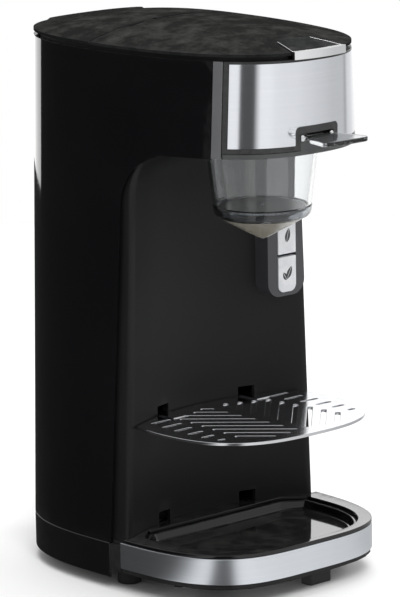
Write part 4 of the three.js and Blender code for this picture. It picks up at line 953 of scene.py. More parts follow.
def clear(name, tint, rough=0.02):
    """Clear moulded plastic with faint smudges in its gloss."""
    tree, shader = start_material(name, Transmission_Weight=1.0, IOR=1.49)
    mark = use(tree, MARKS, Scale=30.0)["Mask"]
    tinted = blend_colour(tree, mark, tint, tuple(c * 0.985 for c in tint))
    feed(tree, shader.inputs["Base Color"], tinted)
    feed(tree, shader.inputs["Roughness"], maths(tree, "MULTIPLY_ADD", mark, 0.03, rough))


def gauze(name, wire, gap):
    """Steel gauze of the infuser's floor. Its open squares are not cut through: their dark colour is painted
    shade for the hollow seen through them.
    """
    tree, shader = start_material(name, Metallic=1.0)
    weave = use(tree, GAUZE)
    feed(tree, shader.inputs["Base Color"], blend_colour(tree, weave["Open"], wire, gap))
    feed(tree, shader.inputs["Roughness"], ranged(tree, weave["Open"], 0.0, 1.0, 0.28, 0.6))
    bumped(tree, shader, weave["Height"], 0.6, 0.0002)


NO_SHEEN = {"Specular_IOR_Level": 0.0}
LOW_SHEEN = {"Specular_IOR_Level": 0.2}
COLUMN_SHEEN = {"Specular_IOR_Level": 0.22}
plastic("gloss black", (0.0025, 0.0025, 0.003), (0.0035, 0.0035, 0.004), 0.05, 0.015, 900.0, 0.01)
plastic("satin black", (0.011, 0.0115, 0.0115), (0.014, 0.0145, 0.014), 0.38, 0.05, 2600.0, 0.16)
plastic("column black", (0.0065, 0.0066, 0.007), (0.0085, 0.0086, 0.009),
        0.42, 0.06, 2600.0, 0.2, **COLUMN_SHEEN)
plastic("soft black", (0.02, 0.021, 0.021), (0.026, 0.027, 0.027), 0.5, 0.06, 2200.0, 0.25)
plastic("frame grey", (0.013, 0.0135, 0.014), (0.017, 0.0175, 0.018), 0.26, 0.05, 2600.0, 0.08)
plastic("satin grey", (0.085, 0.086, 0.09), (0.095, 0.096, 0.1), 0.33, 0.05, 2600.0, 0.1)
plastic("strip black", (0.048, 0.048, 0.054), (0.055, 0.055, 0.061), 0.34, 0.05, 2600.0, 0.12)
plastic("drawer grey", (0.045, 0.047, 0.048), (0.053, 0.055, 0.056), 0.38, 0.05, 2600.0, 0.12)
plastic("lid black", (0.0082, 0.0088, 0.0085), (0.0092, 0.0098, 0.0095), 0.42, 0.05, 2600.0, 0.04, **NO_SHEEN)
plastic("pad grey", (0.014, 0.0155, 0.016), (0.0165, 0.018, 0.0185), 0.42, 0.05, 2600.0, 0.06, **NO_SHEEN)
plastic("inner black", (0.008, 0.008, 0.008), (0.01, 0.01, 0.01), 0.45, 0.05, 2600.0, 0.16, **LOW_SHEEN)
plastic("blackened screw", (0.015, 0.015, 0.016), (0.022, 0.022, 0.023),
        0.35, 0.08, 1800.0, 0.2, Metallic=0.6)
plastic("pearly plastic", (0.3, 0.285, 0.235), (0.38, 0.365, 0.32),
        0.2, 0.06, 1200.0, 0.05, Transmission_Weight=0.35)
plastic("key plastic", (0.6, 0.61, 0.64), (0.64, 0.65, 0.675), 0.3, 0.05, 2600.0, 0.06)
plastic("key ink", (0.03, 0.032, 0.035), (0.037, 0.039, 0.042), 0.45, 0.05, 2600.0, 0.05)
plastic("foot rubber", (0.012, 0.012, 0.012), (0.02, 0.02, 0.02), 0.75, 0.08, 1600.0, 0.4)
plastic("hose silicone", (0.6, 0.58, 0.52), (0.66, 0.64, 0.58),
        0.45, 0.08, 1500.0, 0.15, Subsurface_Weight=0.2)
plastic("frosted tank", (0.5, 0.55, 0.58), (0.56, 0.6, 0.63),
        0.3, 0.08, 1800.0, 0.15, Transmission_Weight=0.5)
plastic("board green", (0.02, 0.13, 0.05), (0.03, 0.17, 0.07), 0.35, 0.08, 3000.0, 0.2)
metal("brushed steel", (0.8, 0.82, 0.86), (0.77, 0.79, 0.83), 0.08, 0.06, (10.0, 10.0, 5200.0), 0.1)
metal("band steel", (0.72, 0.75, 0.79), (0.69, 0.72, 0.76), 0.27, 0.05, (10.0, 10.0, 4200.0), 0.05)
metal("shelf steel", (0.66, 0.67, 0.69), (0.63, 0.64, 0.66), 0.14, 0.08, (12.0, 3200.0, 12.0), 0.1)
metal("plain steel", (0.6, 0.6, 0.61), (0.5, 0.5, 0.51), 0.28, 0.12, (900.0, 900.0, 900.0), 0.1)
metal("chrome", (0.86, 0.87, 0.88), (0.82, 0.83, 0.84), 0.05, 0.05, (60.0, 60.0, 60.0), 0.02)
metal("cast aluminium", (0.5, 0.5, 0.51), (0.4, 0.4, 0.41), 0.45, 0.15, (420.0, 420.0, 420.0), 0.5)
clear("clear plastic", (0.93, 0.945, 0.95))
# The ring's tint is darkened as painted shade, for the dark bands that refraction gives it
clear("clear ring with painted shade", (0.45, 0.47, 0.49), 0.03)
clear("clear pull", (0.86, 0.88, 0.89), 0.03)
# The dark second colour is painted shade in the gauze's open squares
gauze("steel gauze", (0.62, 0.63, 0.64), (0.05, 0.05, 0.05))


def panel_front():
    """Front edge of a side panel from its foot to its top, as (Y, Z)."""
    foot = [(edge_y(z), z) for z in np.linspace(PANEL_Z, COVE_Z, 30)]
    cove = [(edge_y(min(z, HEAD_Z - 1e-6)), z) for z in round_levels(COVE_Z, COVE_HEIGHT, 18)[1:]]
    under = [(y, HEAD_Z) for y in np.linspace(cove[-1][0], HEAD_PANEL_Y, 11)[1:]]
    head = [(HEAD_PANEL_Y, z) for z in np.linspace(HEAD_Z, PANEL_TOP, 14)[1:]]
    return foot + cove + under + head


def mirrored(point, side):
    return (side * point[0], point[1], point[2])


def make_side_panel(side, name, columns=64):
    """Glossy side panel: from its shaped front edge round to the rear panel."""
    front = panel_front()
    lengths = [0.0]
    for (y0, z0), (y1, z1) in zip(front, front[1:]):
        lengths.append(lengths[-1] + math.hypot(y1 - y0, z1 - z0))
    outer, inner = [], []
    for (y, z), length in zip(front, lengths):
        rear_z = PANEL_Z + (PANEL_TOP - PANEL_Z) * length / lengths[-1]
        angles = spread(angle_at(y, z), rear_angle(REAR_HALF + SEAT_GAP, rear_z), columns)
        row = list(zip(angles, spread(z, rear_z, columns)))
        outer.append([mirrored(body_point(a, h), side) for a, h in row])
        inner.append([mirrored(body_point(a, h, PANEL_WALL), side) for a, h in row])
    place(slab_of(name, outer, inner, 0.5), "body", "gloss black")


def make_rear_panel():
    """Matte back with its vent slots, its cord hole and its screw seats."""
    levels = list(np.linspace(PANEL_Z, PANEL_TOP, 40))
    across = lambda z: back_angles(rear_angle(REAR_HALF, z), 48)
    panel = body_shell("rear_panel", levels, across, 0.0, PANEL_WALL)
    behind = 2 * BACK
    cutters = []
    for i in range(VENT_SLOTS):
        z = VENT_Z + i * VENT_PITCH
        outline = rounded_box(-VENT_HALF, VENT_HALF, z, z + VENT_HEIGHT, [VENT_HEIGHT / 2.02] * 4)
        cutters.append(prism_y("cutter", outline, WIDEST_Y, behind))
    cutters.append(rod(GLAND_RADIUS + SEAT_GAP, 0, GLAND_Z, WIDEST_Y, behind, 96, axis="Y"))
    for x in (-REAR_SCREW_X, REAR_SCREW_X):
        for z in (PANEL_Z + REAR_SCREW_MARGIN, PANEL_TOP - REAR_SCREW_MARGIN):
            cutters.append(rod(SCREW_SHANK + SEAT_GAP, x, z, WIDEST_Y, behind, axis="Y"))
            cutters.append(rod(SCREW_RADIUS + SEAT_GAP, x, z, rear_face_y(x) - SCREW_HEAD, behind, axis="Y"))
    carve(panel, *cutters)
    place(panel, "body", "satin black")


def make_lower_body():
    """Skirt, steel band and the glossy rim on the base."""
    round_back = lambda z: back_angles(angle_at(SKIRT_FRONT_Y, z))
    skirt = body_shell("rear_skirt", [SKIRT_Z, SKIRT_TOP], round_back, 0.0, BAND_WALL, 0.5)
    place(skirt, "body", "gloss black")
    round_front = lambda z: front_angles(BAND_BACK_Y, z, 160)
    band = body_shell("base_trim_band", [BAND_Z, SKIRT_TOP, BAND_TOP], round_front, 0.0, BAND_WALL, 0.25)
    place(band, "body", "band steel")
    edge = [body_point(a, RIM_Z)[:2] for a in front_angles(LAND_Y - SEAT_GAP, RIM_Z, 160)]
    half = hollow_half(RIM_Z)
    foot = [(x, hollow_y(x, RIM_Z) - SEAT_GAP) for x in np.linspace(half, -half, 61)]
    recess = [(x, y) for x, y, z in recess_loop(0.0, 0.0)]
    rim = plate("base_rim", [edge + foot, recess], RIM_Z, RIM_TOP, 0.5, 3)
    place(rim, "body", "gloss black")


def make_drip_tray():
    """Tray with a rounded flange and a drafted basin."""
    inner = TRAY_GAP + TRAY_FLANGE
    steps = offsets(TRAY_GAP, TRAY_Z, TRAY_FOOT_ROUND) + offsets(TRAY_GAP, TRAY_TOP, TRAY_RIM_ROUND)
    steps += offsets(inner, TRAY_TOP, TRAY_LIP_ROUND)
    steps += offsets(inner + TRAY_DRAFT, TRAY_Z + TRAY_FLOOR, TRAY_BASIN_ROUND)
    tray = ring_stack("drip_tray", [recess_loop(inset, z) for inset, z in steps], sharp=50.0)
    place(tray, "tray", "gloss black")


def cover_path(z, shift):
    """Column front in plan, left to right, drawn in by a shift."""
    half = cover_half(z) - shift
    land = LAND_Y + shift
    back = edge_y(min(z, COVER_COVE_Z)) + COVER_TUCK
    radius = max(SEAT_GAP, COVER_CORNER - shift)
    side = [(-half, back + (land + radius - back) * i / 6) for i in range(6)]
    left = side + arc(-half + radius, land + radius, radius, 180, 270, 8)
    hollow = hollow_half(z)
    middle = [(x, hollow_y(x, z) + shift) for x in np.linspace(-hollow, hollow, 81)]
    return left + middle + [(-x, y) for x, y in reversed(left)]


def cove_levels():
    """Heights up the column's cove, ending just below the head."""
    top = HEAD_Z - SEAT_GAP
    return [z for z in round_levels(COVER_COVE_Z, COVER_COVE, 18)[1:] if z < top - SEAT_GAP] + [top]


def cove_reach(z):
    """How far the column's cove comes forward at a height."""
    return COVER_COVE * quarter_round((z - COVER_COVE_Z) / COVER_COVE)


def make_column_front():
    """Hollow matte front of the column with its cove, its hook slots and the room for the infuser."""
    outer, inner = [], []
    for z in list(np.linspace(RIM_Z, COVER_COVE_Z, 34)) + cove_levels():
        reach = cove_reach(z)
        for rows, shift in ((outer, 0.0), (inner, COVER_WALL)):
            row = []
            for x, y in cover_path(z, shift):
                limit = side_limit(y - reach, z, PANEL_WALL + SEAT_GAP + shift)
                row.append((max(-limit, min(limit, x)), y - reach, z))
            rows.append(row)
    front = slab_of("column_front_cover", outer, inner, 0.35, sharp=35.0)
    cutters = [rod(INFUSER_ROOM, 0, INFUSER_Y, INFUSER_ROOM_Z, HEAD_Z + OVERRUN, 128)]
    half = HOOK_HALF + SLIDE_GAP
    for x in (-HOOK_X, HOOK_X):
        for z in (LOWER_SLOT_Z, SHELF_TOP - SHELF_THICK - SEAT_GAP):
            cutters.append(block(x - half, x + half, -FAR, 0, z, z + HOOK_SLOT))
    half, gap = KEY_HALF + 2 * SEAT_GAP, 2 * SEAT_GAP
    cutters.append(block(KEY_X - half, KEY_X + half, -FAR, 0, STRONG_Z - gap, LIGHT_Z + KEY_HEIGHT + gap))
    carve(front, *cutters)
    place(front, "body", "column black")


def make_control_strip():
    """Flat raised strip at the right that carries the two keys."""
    levels = [STRIP_Z + STRIP_CORNER * (1 - math.cos(math.pi * i / 16)) for i in range(9)]
    levels += list(np.linspace(levels[-1], COVER_COVE_Z, 24)[1:]) + cove_levels()
    outer, inner = [], []
    for z in levels:
        reach = cove_reach(z)
        drop = max(0.0, STRIP_CORNER - (z - STRIP_Z))
        pull = STRIP_CORNER - math.sqrt(max(0.0, STRIP_CORNER**2 - drop**2))
        high = min(cover_half(z) - STRIP_MARGIN, side_limit(LAND_Y - reach, z, PANEL_WALL + SEAT_GAP))
        for rows, y in ((outer, LAND_Y - STRIP_PROUD), (inner, STRIP_BACK_Y)):
            rows.append([(x, y - reach, z) for x in np.linspace(STRIP_X + pull, high - pull, 25)])
    strip = slab_of("control_strip", outer, inner, 0.9, segments=4, sharp=35.0)
    left, right = KEY_X - KEY_HALF - SEAT_GAP, KEY_X + KEY_HALF + SEAT_GAP
    low, high = STRONG_Z - SEAT_GAP, LIGHT_Z + KEY_HEIGHT + SEAT_GAP
    window = rounded_box(left, right, low, high, [KEY_CORNER + SEAT_GAP] * 4)
    carve(strip, prism_y("cutter", window, -WINDOW_REACH, 0))
    place(strip, "body", "strip black", "column_front_cover")


def leaf_half(length, half, side):
    """One half of a pointed leaf beside its vein."""
    points = []
    for t in spread(0, 1, LEAF_STEPS):
        wide = half * math.sin(math.pi * t**0.85) ** 0.9 if 0 < t < 1 else 0.0
        points.append((side * (LEAF_VEIN + wide), (t - 0.5) * length))
    return points + [(side * LEAF_VEIN, (t - 0.5) * length) for t in LEAF_VEIN_SHARES]


def make_key(name, body, z, radii, leaves):
    """A key with its stem and its dark leaf marks."""
    outline = rounded_box(KEY_X - KEY_HALF, KEY_X + KEY_HALF, z, z + KEY_HEIGHT, radii, 8)
    front = LAND_Y - KEY_PROUD
    middle = z + KEY_HEIGHT / 2
    cap = prism_y(name, outline, front, front + KEY_CAP, 0.45)
    cap.modifiers["edge"].segments = 4
    join(cap, rod(KEY_STEM, KEY_X, middle, front + KEY_CAP / 2, STEM_END_Y, axis="Y"))
    place(cap, body, "key plastic")
    for number, (dx, dz, length, half, turn) in enumerate(leaves):
        for side, word in SIDES:
            shape = turn_and_move(leaf_half(length, half, side), math.radians(turn), KEY_X + dx, middle + dz)
            mark = prism_y(f"{name}_leaf_{number}_{word}", shape, front - LEAF_PROUD, front + LEAF_ROOT)
            place(mark, body, "key ink")


def notch(half, height, corner):
    radii = (NOTCH_FOOT, NOTCH_FOOT, corner, corner)
    outline = rounded_box(-half, half, HEAD_Z - HEAD_LAP, HEAD_Z + height, radii, 8)
    return prism_y("cutter", outline, -2 * TOP_FRONT, 0)


def make_head_front():
    """Frame with its pocket, the bent steel panel in it and the grey strips beside it."""
    around = lambda y: (lambda z: front_angles(y, z, 140))
    levels = [FRAME_Z, STEEL_Z, STEEL_TOP, PANEL_TOP]
    head_frame = body_shell("head_frame", levels, around(FRAME_Y), 0.0, FRAME_WALL, 0.5)
    pocket_levels = [STEEL_Z - TIGHT, STEEL_TOP + TIGHT]
    pocket = body_shell("cutter", pocket_levels, around(STEEL_Y), -POCKET_REACH, POCKET_DEPTH, 0.0)
    carve(pocket, notch(NOTCH_HALF, NOTCH_HEIGHT, NOTCH_CORNER))
    opening = notch(NOTCH_HALF - NOTCH_SIDE, NOTCH_HEIGHT - NOTCH_TOP, NOTCH_CORNER / 2)
    carve(head_frame, pocket, opening)
    place(head_frame, "body", "frame grey")
    path = around(STEEL_Y - TIGHT)
    steel = body_shell("head_front_panel", [STEEL_Z, STEEL_TOP], path, 0.0, STEEL_WALL, 0.2)
    carve(steel, notch(NOTCH_HALF + TIGHT, NOTCH_HEIGHT + TIGHT, NOTCH_CORNER))
    place(steel, "body", "brushed steel")
    for side, word in SIDES:
        outer, inner = [], []
        for z in np.linspace(HEAD_Z + SEAT_GAP, PANEL_TOP, 6):
            angles = spread(angle_at(TRIM_Y, z), angle_at(HEAD_PANEL_Y - SEAT_GAP, z), 8)
            outer.append([mirrored(body_point(a, z), side) for a in angles])
            inner.append([mirrored(body_point(a, z, PANEL_WALL), side) for a in angles])
        place(slab_of(f"side_trim_{word}", outer, inner, 0.35), "body", "satin grey")


def make_drawer():
    """Thin carrier of the infuser with its raised tongue in front."""
    front = [body_point(a, HEAD_Z)[:2] for a in front_angles(FRAME_Y, HEAD_Z, 140)]
    run = [(RUN_HALF, FRAME_Y), (RUN_HALF, DRAWER_BACK_Y), (-RUN_HALF, DRAWER_BACK_Y), (-RUN_HALF, FRAME_Y)]
    sheet = plate("infuser_drawer", [front + run], HEAD_Z, DRAWER_TOP, 0.35)
    lap = FRAME_Y - SHORT_OVERRUN
    lips = block(-DRAWER_HALF, DRAWER_HALF, lap, DRAWER_BACK_Y, HEAD_Z + DRAWER_LIP, DRAWER_TOP)
    tip = [body_point(a, HEAD_Z, TIGHT)[:2] for a in front_angles(FRAME_Y, HEAD_Z, 400)]
    tip = [(x, y) for x, y in tip if abs(x) < TONGUE_HALF - SEAT_GAP]
    root = TIP_Y + HEAD_LAP
    sides = [(TONGUE_HALF, tip[-1][1]), (TONGUE_HALF, root), (-TONGUE_HALF, root), (-TONGUE_HALF, tip[0][1])]
    tongue = plate("cutter", [tip + sides], HEAD_Z + TONGUE_FOOT, TONGUE_TOP, 0.35)
    join(sheet, lips, tongue)
    top = HEAD_Z + OVERRUN
    bore = rod(CHAMBER_TOP_RADIUS + SLIDE_GAP, 0, INFUSER_Y, HEAD_Z - HEAD_LAP, top, 128)
    flange = CHAMBER_TOP_RADIUS + CHAMBER_FLANGE + SEAT_GAP
    carve(sheet, bore, rod(flange, 0, INFUSER_Y, CHAMBER_TOP - SEAT_GAP, top, 128))
    place(sheet, "infuser", "drawer grey")


def chamber_profile():
    """Section of the clear chamber from its floor's edge round to its flange and back."""
    low, high = CHAMBER_BOTTOM, HEAD_Z - SEAT_GAP
    bottom, top = CHAMBER_BOTTOM_RADIUS, CHAMBER_TOP_RADIUS
    wall, soft, flange, edge = CHAMBER_WALL, CHAMBER_ROUND, top + CHAMBER_FLANGE, FLANGE_ROUND
    outside = [(bottom - wall + soft, low), (bottom - soft, low), (bottom, low + soft), (top, high)]
    outside += [(top, CHAMBER_TOP), (flange - edge, CHAMBER_TOP), (flange, CHAMBER_TOP + edge)]
    outside += [(flange, FLANGE_TOP - edge), (flange - edge, FLANGE_TOP)]
    inside = [(top - wall + soft, FLANGE_TOP), (top - wall, FLANGE_TOP - soft), (top - wall, high)]
    return outside + inside + [(bottom - wall, low + soft)]


def ring_side():
    """Rounded outside of the clear ring, from its lower edge up."""
    turns = [math.pi / 2 * (1 - share) for share in spread(0, 1, 14)]
    reach = RING_RADIUS - CONE_RIM
    return [(CONE_RIM + reach * math.cos(turn), RING_TOP - RING_HEIGHT * math.sin(turn)) for turn in turns]


def cone_side(wall, steps=28):
    """Side of the outlet cone from its rim to its tip."""
    points = []
    for i in range(steps + 1):
        share = i / steps
        height = CONE_TOP - CONE_DROP * share
        if wall:
            radius = CONE_BORE + (CONE_RIM - CONE_WALL - CONE_BORE) * (1 - share)
            height = height if i == steps else min(CONE_TOP, height + wall)
        else:
            radius = CONE_TIP + (CONE_RIM - CONE_TIP) * (1 - share)
        points.append((radius, height))
    return points


def make_infuser():
    """Clear chamber, its lower ring, the gauze floor, the outlet cone and the valve."""
    at_infuser = lambda name, profile, sides: turned(name, profile, 0, INFUSER_Y, sides)
    place(at_infuser("infuser_chamber", chamber_profile(), 160), "infuser", "clear plastic")
    seat, soft = CONE_RIM + SEAT_GAP, FILTER_ROUND
    top = RING_TOP - SEAT_GAP
    under = top - FILTER_THICK
    ledge = under - SEAT_GAP
    profile = ring_side() + [(seat + soft, RING_TOP), (seat, RING_TOP - soft), (seat, ledge)]
    profile += [(CONE_RIM - RING_LEDGE, ledge), (CONE_RIM - RING_LEDGE, RING_TOP - RING_HEIGHT + RING_FLOOR)]
    place(at_infuser("infuser_ring", profile, 160), "infuser", "clear ring with painted shade")
    bore = VALVE_RADIUS + SEAT_GAP
    profile = [(bore, under), (CONE_RIM - soft, under), (CONE_RIM, under + soft)]
    profile += [(CONE_RIM, top - soft), (CONE_RIM - soft, top), (bore, top)]
    place(at_infuser("filter_disc", profile, 128), "infuser", "steel gauze")
    sides = cone_side(0.0) + cone_side(CONE_WALL)[::-1]
    place(at_infuser("outlet_cone", sides, 128), "infuser", "pearly plastic")
    head = CONE_TOP - CONE_DROP * VALVE_SEAT_SHARE + VALVE_SEAT_RISE
    low, high, neck = [head + rise for rise in VALVE_HEAD_RISES]
    profile = [(VALVE_RADIUS * share, CONE_TOP - CONE_DROP + rise) for share, rise in VALVE_TIP]
    profile += [(VALVE_RADIUS, head), (VALVE_HEAD, low), (VALVE_HEAD, high), (VALVE_RADIUS, neck)]
    profile += [(VALVE_RADIUS * share, top + rise) for share, rise in VALVE_KNOB]
    place(at_infuser("valve_plunger", profile, 48), "valve", "satin grey")


def make_handle():
    """Clear pull with a rounded edge, held by two bright pins."""
    root, neck, front = TIP_Y + HEAD_LAP, TIP_Y + HANDLE_NECK, -HANDLE_REACH
    radius = HANDLE_CORNER
    left = [(-HANDLE_ROOT, root), (-HANDLE_ROOT, neck), (-HANDLE_SHOULDER, neck - HANDLE_SPREAD)]
    outline = left + arc(-HANDLE_FRONT + radius, front + radius, radius, 180, 270, 10)
    outline += arc(HANDLE_FRONT - radius, front + radius, radius, 270, 360, 10)
    outline += [(-x, y) for x, y in reversed(left)]
    pull = plate("infuser_handle", [outline], HANDLE_Z, HANDLE_Z + HANDLE_THICK, 0.7, 3)
    place(pull, "infuser", "clear pull")
    foot, radius = TONGUE_TOP + SEAT_GAP, PIN_RADIUS
    dome = TONGUE_TOP + PIN_HEIGHT - PIN_DOME
    profile = [(0, foot), (radius * 0.8, foot), (radius, foot + SEAT_GAP), (radius, dome)]
    for turn in (20, 40, 60, 80):
        angle = math.radians(turn)
        profile.append((radius * math.cos(angle), dome + PIN_DOME_RISE * math.sin(angle)))
    profile.append((0, dome + PIN_DOME_RISE))
    for side, word in SIDES:
        x = side * (HANDLE_ROOT + radius + SEAT_GAP)
        pin = turned(f"handle_pin_{word}", profile, x, root - radius - PIN_SETBACK, 48)
        place(pin, "infuser", "chrome")


def dome_share(x, y):
    """How high the crown is over a point in plan, as a share of its rise."""
    side = abs(x) / TOP_HALF
    along = y - WIDEST_Y
    depth = abs(along) / (TOP_FRONT if along < 0 else BACK)
    power = TOP_FRONT_POWER if along < 0 else BACK_POWER
    reach = (side**power + depth**power) ** (1 / power)
    return 1 - min(1.0, reach) ** CROWN_POWER


def crown_z(x, y, extra=0.0):
    return LID_Z + LID_EDGE + extra + CROWN_RISE * dome_share(x, y)


def under_z(x, y):
    return LID_Z + (CROWN_RISE + LID_EDGE - LID_SHELL) * dome_share(x, y)


def fan(name, edge, centre_y, extra=lambda x, y: 0.0):
    """Domed plate: an edge line in plan drawn in to a point on the middle line."""
    outer, inner = [], []
    for i in range(FAN_STEPS + 1):
        share = 1 - (i / FAN_STEPS) ** FAN_POWER
        ring = [(x * share, centre_y + (y - centre_y) * share) for x, y in edge]
        outer.append([(x, y, crown_z(x, y, extra(x, y))) for x, y in ring])
        inner.append([(x, y, under_z(x, y)) for x, y in ring])
    return slab_of(name, outer, inner, 0.35, sharp=35.0)


def knuckle(x0, x1, radius):
    return rod(radius, HINGE_Y, HINGE_Z, x0, x1, 40, axis="X")


def grip_edges(grow, side):
    """Plan of the grip: its front and back lines as functions of a share across."""
    front_y = TIP_Y - GRIP_REACH - grow
    back_y = TIP_Y - GRIP_REACH + GRIP_DEPTH + grow
    slope = (GRIP_FRONT - GRIP_BACK) / GRIP_DEPTH
    front_half = GRIP_FRONT + side + slope * grow
    back_half = GRIP_BACK + side - slope * grow

    def lip(share):
        x = front_half * (2 * share - 1)
        return x, front_y + GRIP_BOW * x * x / GRIP_FRONT**2

    def back(share):
        x = back_half * (2 * share - 1)
        return x, back_y - GRIP_BOW * x * x / GRIP_BACK**2

    return lip, back


def grip_cutter(steps=24):
    """Shape of the lid's notch for its grip."""
    lip, back = grip_edges(SEAT_GAP, SEAT_GAP)
    outline = [lip(i / steps) for i in range(steps + 1)] + [back(1 - i / steps) for i in range(steps + 1)]
    return ring_stack("cutter", [[(x, y, z) for x, y in outline] for z in (CUT_LOW, CUT_TOP)])


def make_lid():
    """Domed lid over the fill opening, hinged behind, with a notch for its grip."""
    edge = [body_point(a, PANEL_TOP)[:2] for a in front_angles(SEAM_Y, PANEL_TOP, 170)]
    lid = fan("lid", edge, SEAM_Y)
    reach, behind = KNUCKLE + SLIDE_GAP, SEAM_Y + OVERRUN
    rooms = []
    for side, word in SIDES:
        x0, x1 = sorted((side * (KNUCKLE_HALF + TIGHT), side * (HINGE_HALF + SEAT_GAP)))
        rooms.append(block(x0, x1, HINGE_Y - reach, behind, HINGE_Z - reach, CUT_TOP))
    round_off = block(-FAR, FAR, HINGE_Y, behind, HINGE_Z, CUT_TOP)
    carve(round_off, knuckle(-FAR, FAR, KNUCKLE + TIGHT))
    carve(lid, round_off, grip_cutter(), *rooms)
    join(lid, knuckle(-KNUCKLE_HALF, KNUCKLE_HALF, KNUCKLE))
    carve(lid, knuckle(-FAR, FAR, PIN_SIZE + TIGHT))
    place(lid, "lid", "lid black")


def make_rear_cover():
    """Fixed domed cover behind the lid, with a slightly raised patch at the back."""

    def patch(x, y):
        step = min(1.0, max(0.0, min(VENT_HALF_X - abs(x), y - VENT_Y) / VENT_SLOPE))
        return VENT_RISE * step * step * (3 - 2 * step)

    edge = [body_point(a, PANEL_TOP)[:2] for a in back_angles(angle_at(COVER_FRONT_Y, PANEL_TOP))]
    cover = fan("rear_top_cover", edge, COVER_FRONT_Y, patch)
    near = KNUCKLE_HALF + SEAT_GAP
    carve(cover, block(-near, near, 0, HINGE_Y + KNUCKLE + 2 * SEAT_GAP, COVER_CUT_LOW, CUT_TOP))
    joins = []
    for side, word in SIDES:
        x0, x1 = sorted((side * near, side * HINGE_HALF))
        joins.append(knuckle(x0, x1, KNUCKLE))
        joins.append(block(x0, x1, HINGE_Y, COVER_FRONT_Y + SHORT_OVERRUN, HINGE_Z - KNUCKLE, HINGE_Z))
    join(cover, *joins)
    carve(cover, knuckle(-FAR, FAR, PIN_SIZE + TIGHT))
    place(cover, "body", "lid black")


def make_edge_highlight_beads():
    """Bright aluminium beads round the lower edges of the lid and of the rear cover: a painted highlight
    standing in for the thin bright line on those glossy edges.
    """
    level = LID_Z + LID_EDGE - BEAD_RADIUS
    path = lambda angles: [(*body_point(a, PANEL_TOP, BEAD_RADIUS)[:2], level) for a in angles]
    front = path(front_angles(SEAM_Y, PANEL_TOP, 220))
    cover = path(back_angles(angle_at(COVER_FRONT_Y, PANEL_TOP)))
    near = GRIP_FRONT + BEAD_MARGIN
    left = [p for p in front if p[0] < -near]
    right = [p for p in front if p[0] > near]
    beads = (("lid_highlight_bead_left", left, "lid"), ("lid_highlight_bead_right", right, "lid"), ("cover_highlight_bead", cover, "body"))
    for name, line, body in beads:
        place(bead(name, line, BEAD_RADIUS), body, "cast aluminium")


def grip_patch(name, share0, share1, depth0, depth1, low, bevel=0.0):
    """Part of the grip between shares across and shares from its lip to its rear edge."""
    lip, back = grip_edges(0.0, 0.0)
    outer, inner = [], []
    for v in np.linspace(depth0, depth1, 16):
        row = []
        for u in np.linspace(share0(v), share1(v), 24):
            (x0, y0), (x1, y1) = lip(u), back(u)
            row.append((x0 + (x1 - x0) * v, y0 + (y1 - y0) * v))
        outer.append([(x, y, crown_z(x, y, GRIP_RISE)) for x, y in row])
        inner.append([(x, y, low(x, y)) for x, y in row])
    return slab_of(name, outer, inner, bevel, segments=3)


def make_grip():
    """Bright edged grip at the front of the lid with its dark pad."""
    share_of = lambda width: (lambda v: width / (2 * (GRIP_FRONT + (GRIP_BACK - GRIP_FRONT) * v)))
    other = lambda share: (lambda v: 1 - share(v))
    start = lambda v: 0.0
    rail, pad_side = share_of(GRIP_RAIL), share_of(GRIP_RAIL + SEAT_GAP / 2)
    lip_back = GRIP_REACH / GRIP_DEPTH
    lower = lambda x, y: min(under_z(x, y), LID_Z - GRIP_DROP)
    trim = grip_patch("lid_grip_trim", start, other(start), 0.0, lip_back, lower, 0.45)
    for near, far in ((start, rail), (other(rail), other(start))):
        join(trim, grip_patch("cutter", near, far, lip_back * 0.5, 1.0, under_z))
    place(trim, "lid", "chrome")
    pad_front = lip_back + SEAT_GAP / GRIP_DEPTH
    pad = grip_patch("lid_grip_pad", pad_side, other(pad_side), pad_front, 1.0, under_z, 0.3)
    place(pad, "lid", "pad grey")


def slot_outline(length, width, x, y, angle):
    flat = rounded_box(-length / 2, length / 2, -width / 2, width / 2, [width / 2.04] * 4)
    return turn_and_move(flat, angle, x, y)


def shelf_outlines():
    """Edge of the shelf, its dashes beside the edge and its slanted veins."""
    rear = np.linspace(SHELF_REAR_HALF, -SHELF_REAR_HALF, 120)
    back = [(x, hollow_y(x, SHELF_TOP - SHELF_THICK) - SHELF_GAP) for x in rear]
    front = front_arc(SHELF_HALF, SHELF_MIDDLE_Y, SHELF_MIDDLE_Y - SHELF_FRONT_Y, SHELF_POWER, 80)
    outlines = [front + back]
    for i, (length, across) in enumerate(zip(DASHES, DASH_PLACES)):
        y = DASH_Y - i * DASH_PITCH
        outlines += [slot_outline(length, DASH_WIDTH, x, y, 0.0) for x in (-across, across)]
    for i in range(VEINS):
        total = VEIN_FIRST + i * VEIN_PITCH
        outer = min(VEIN_OUTER_X + total * VEIN_SPREAD, (total - VEIN_REAR_MARGIN) * VEIN_TAPER)
        inner = max(VEIN_INNER_X, total + SHELF_FRONT_Y + VEIN_MARGIN)
        length, x = (outer - inner) * math.sqrt(2), (outer + inner) / 2
        for side, word in SIDES:
            outlines.append(slot_outline(length, VEIN_WIDTH, side * x, x - total, side * math.pi / 4))
    return outlines


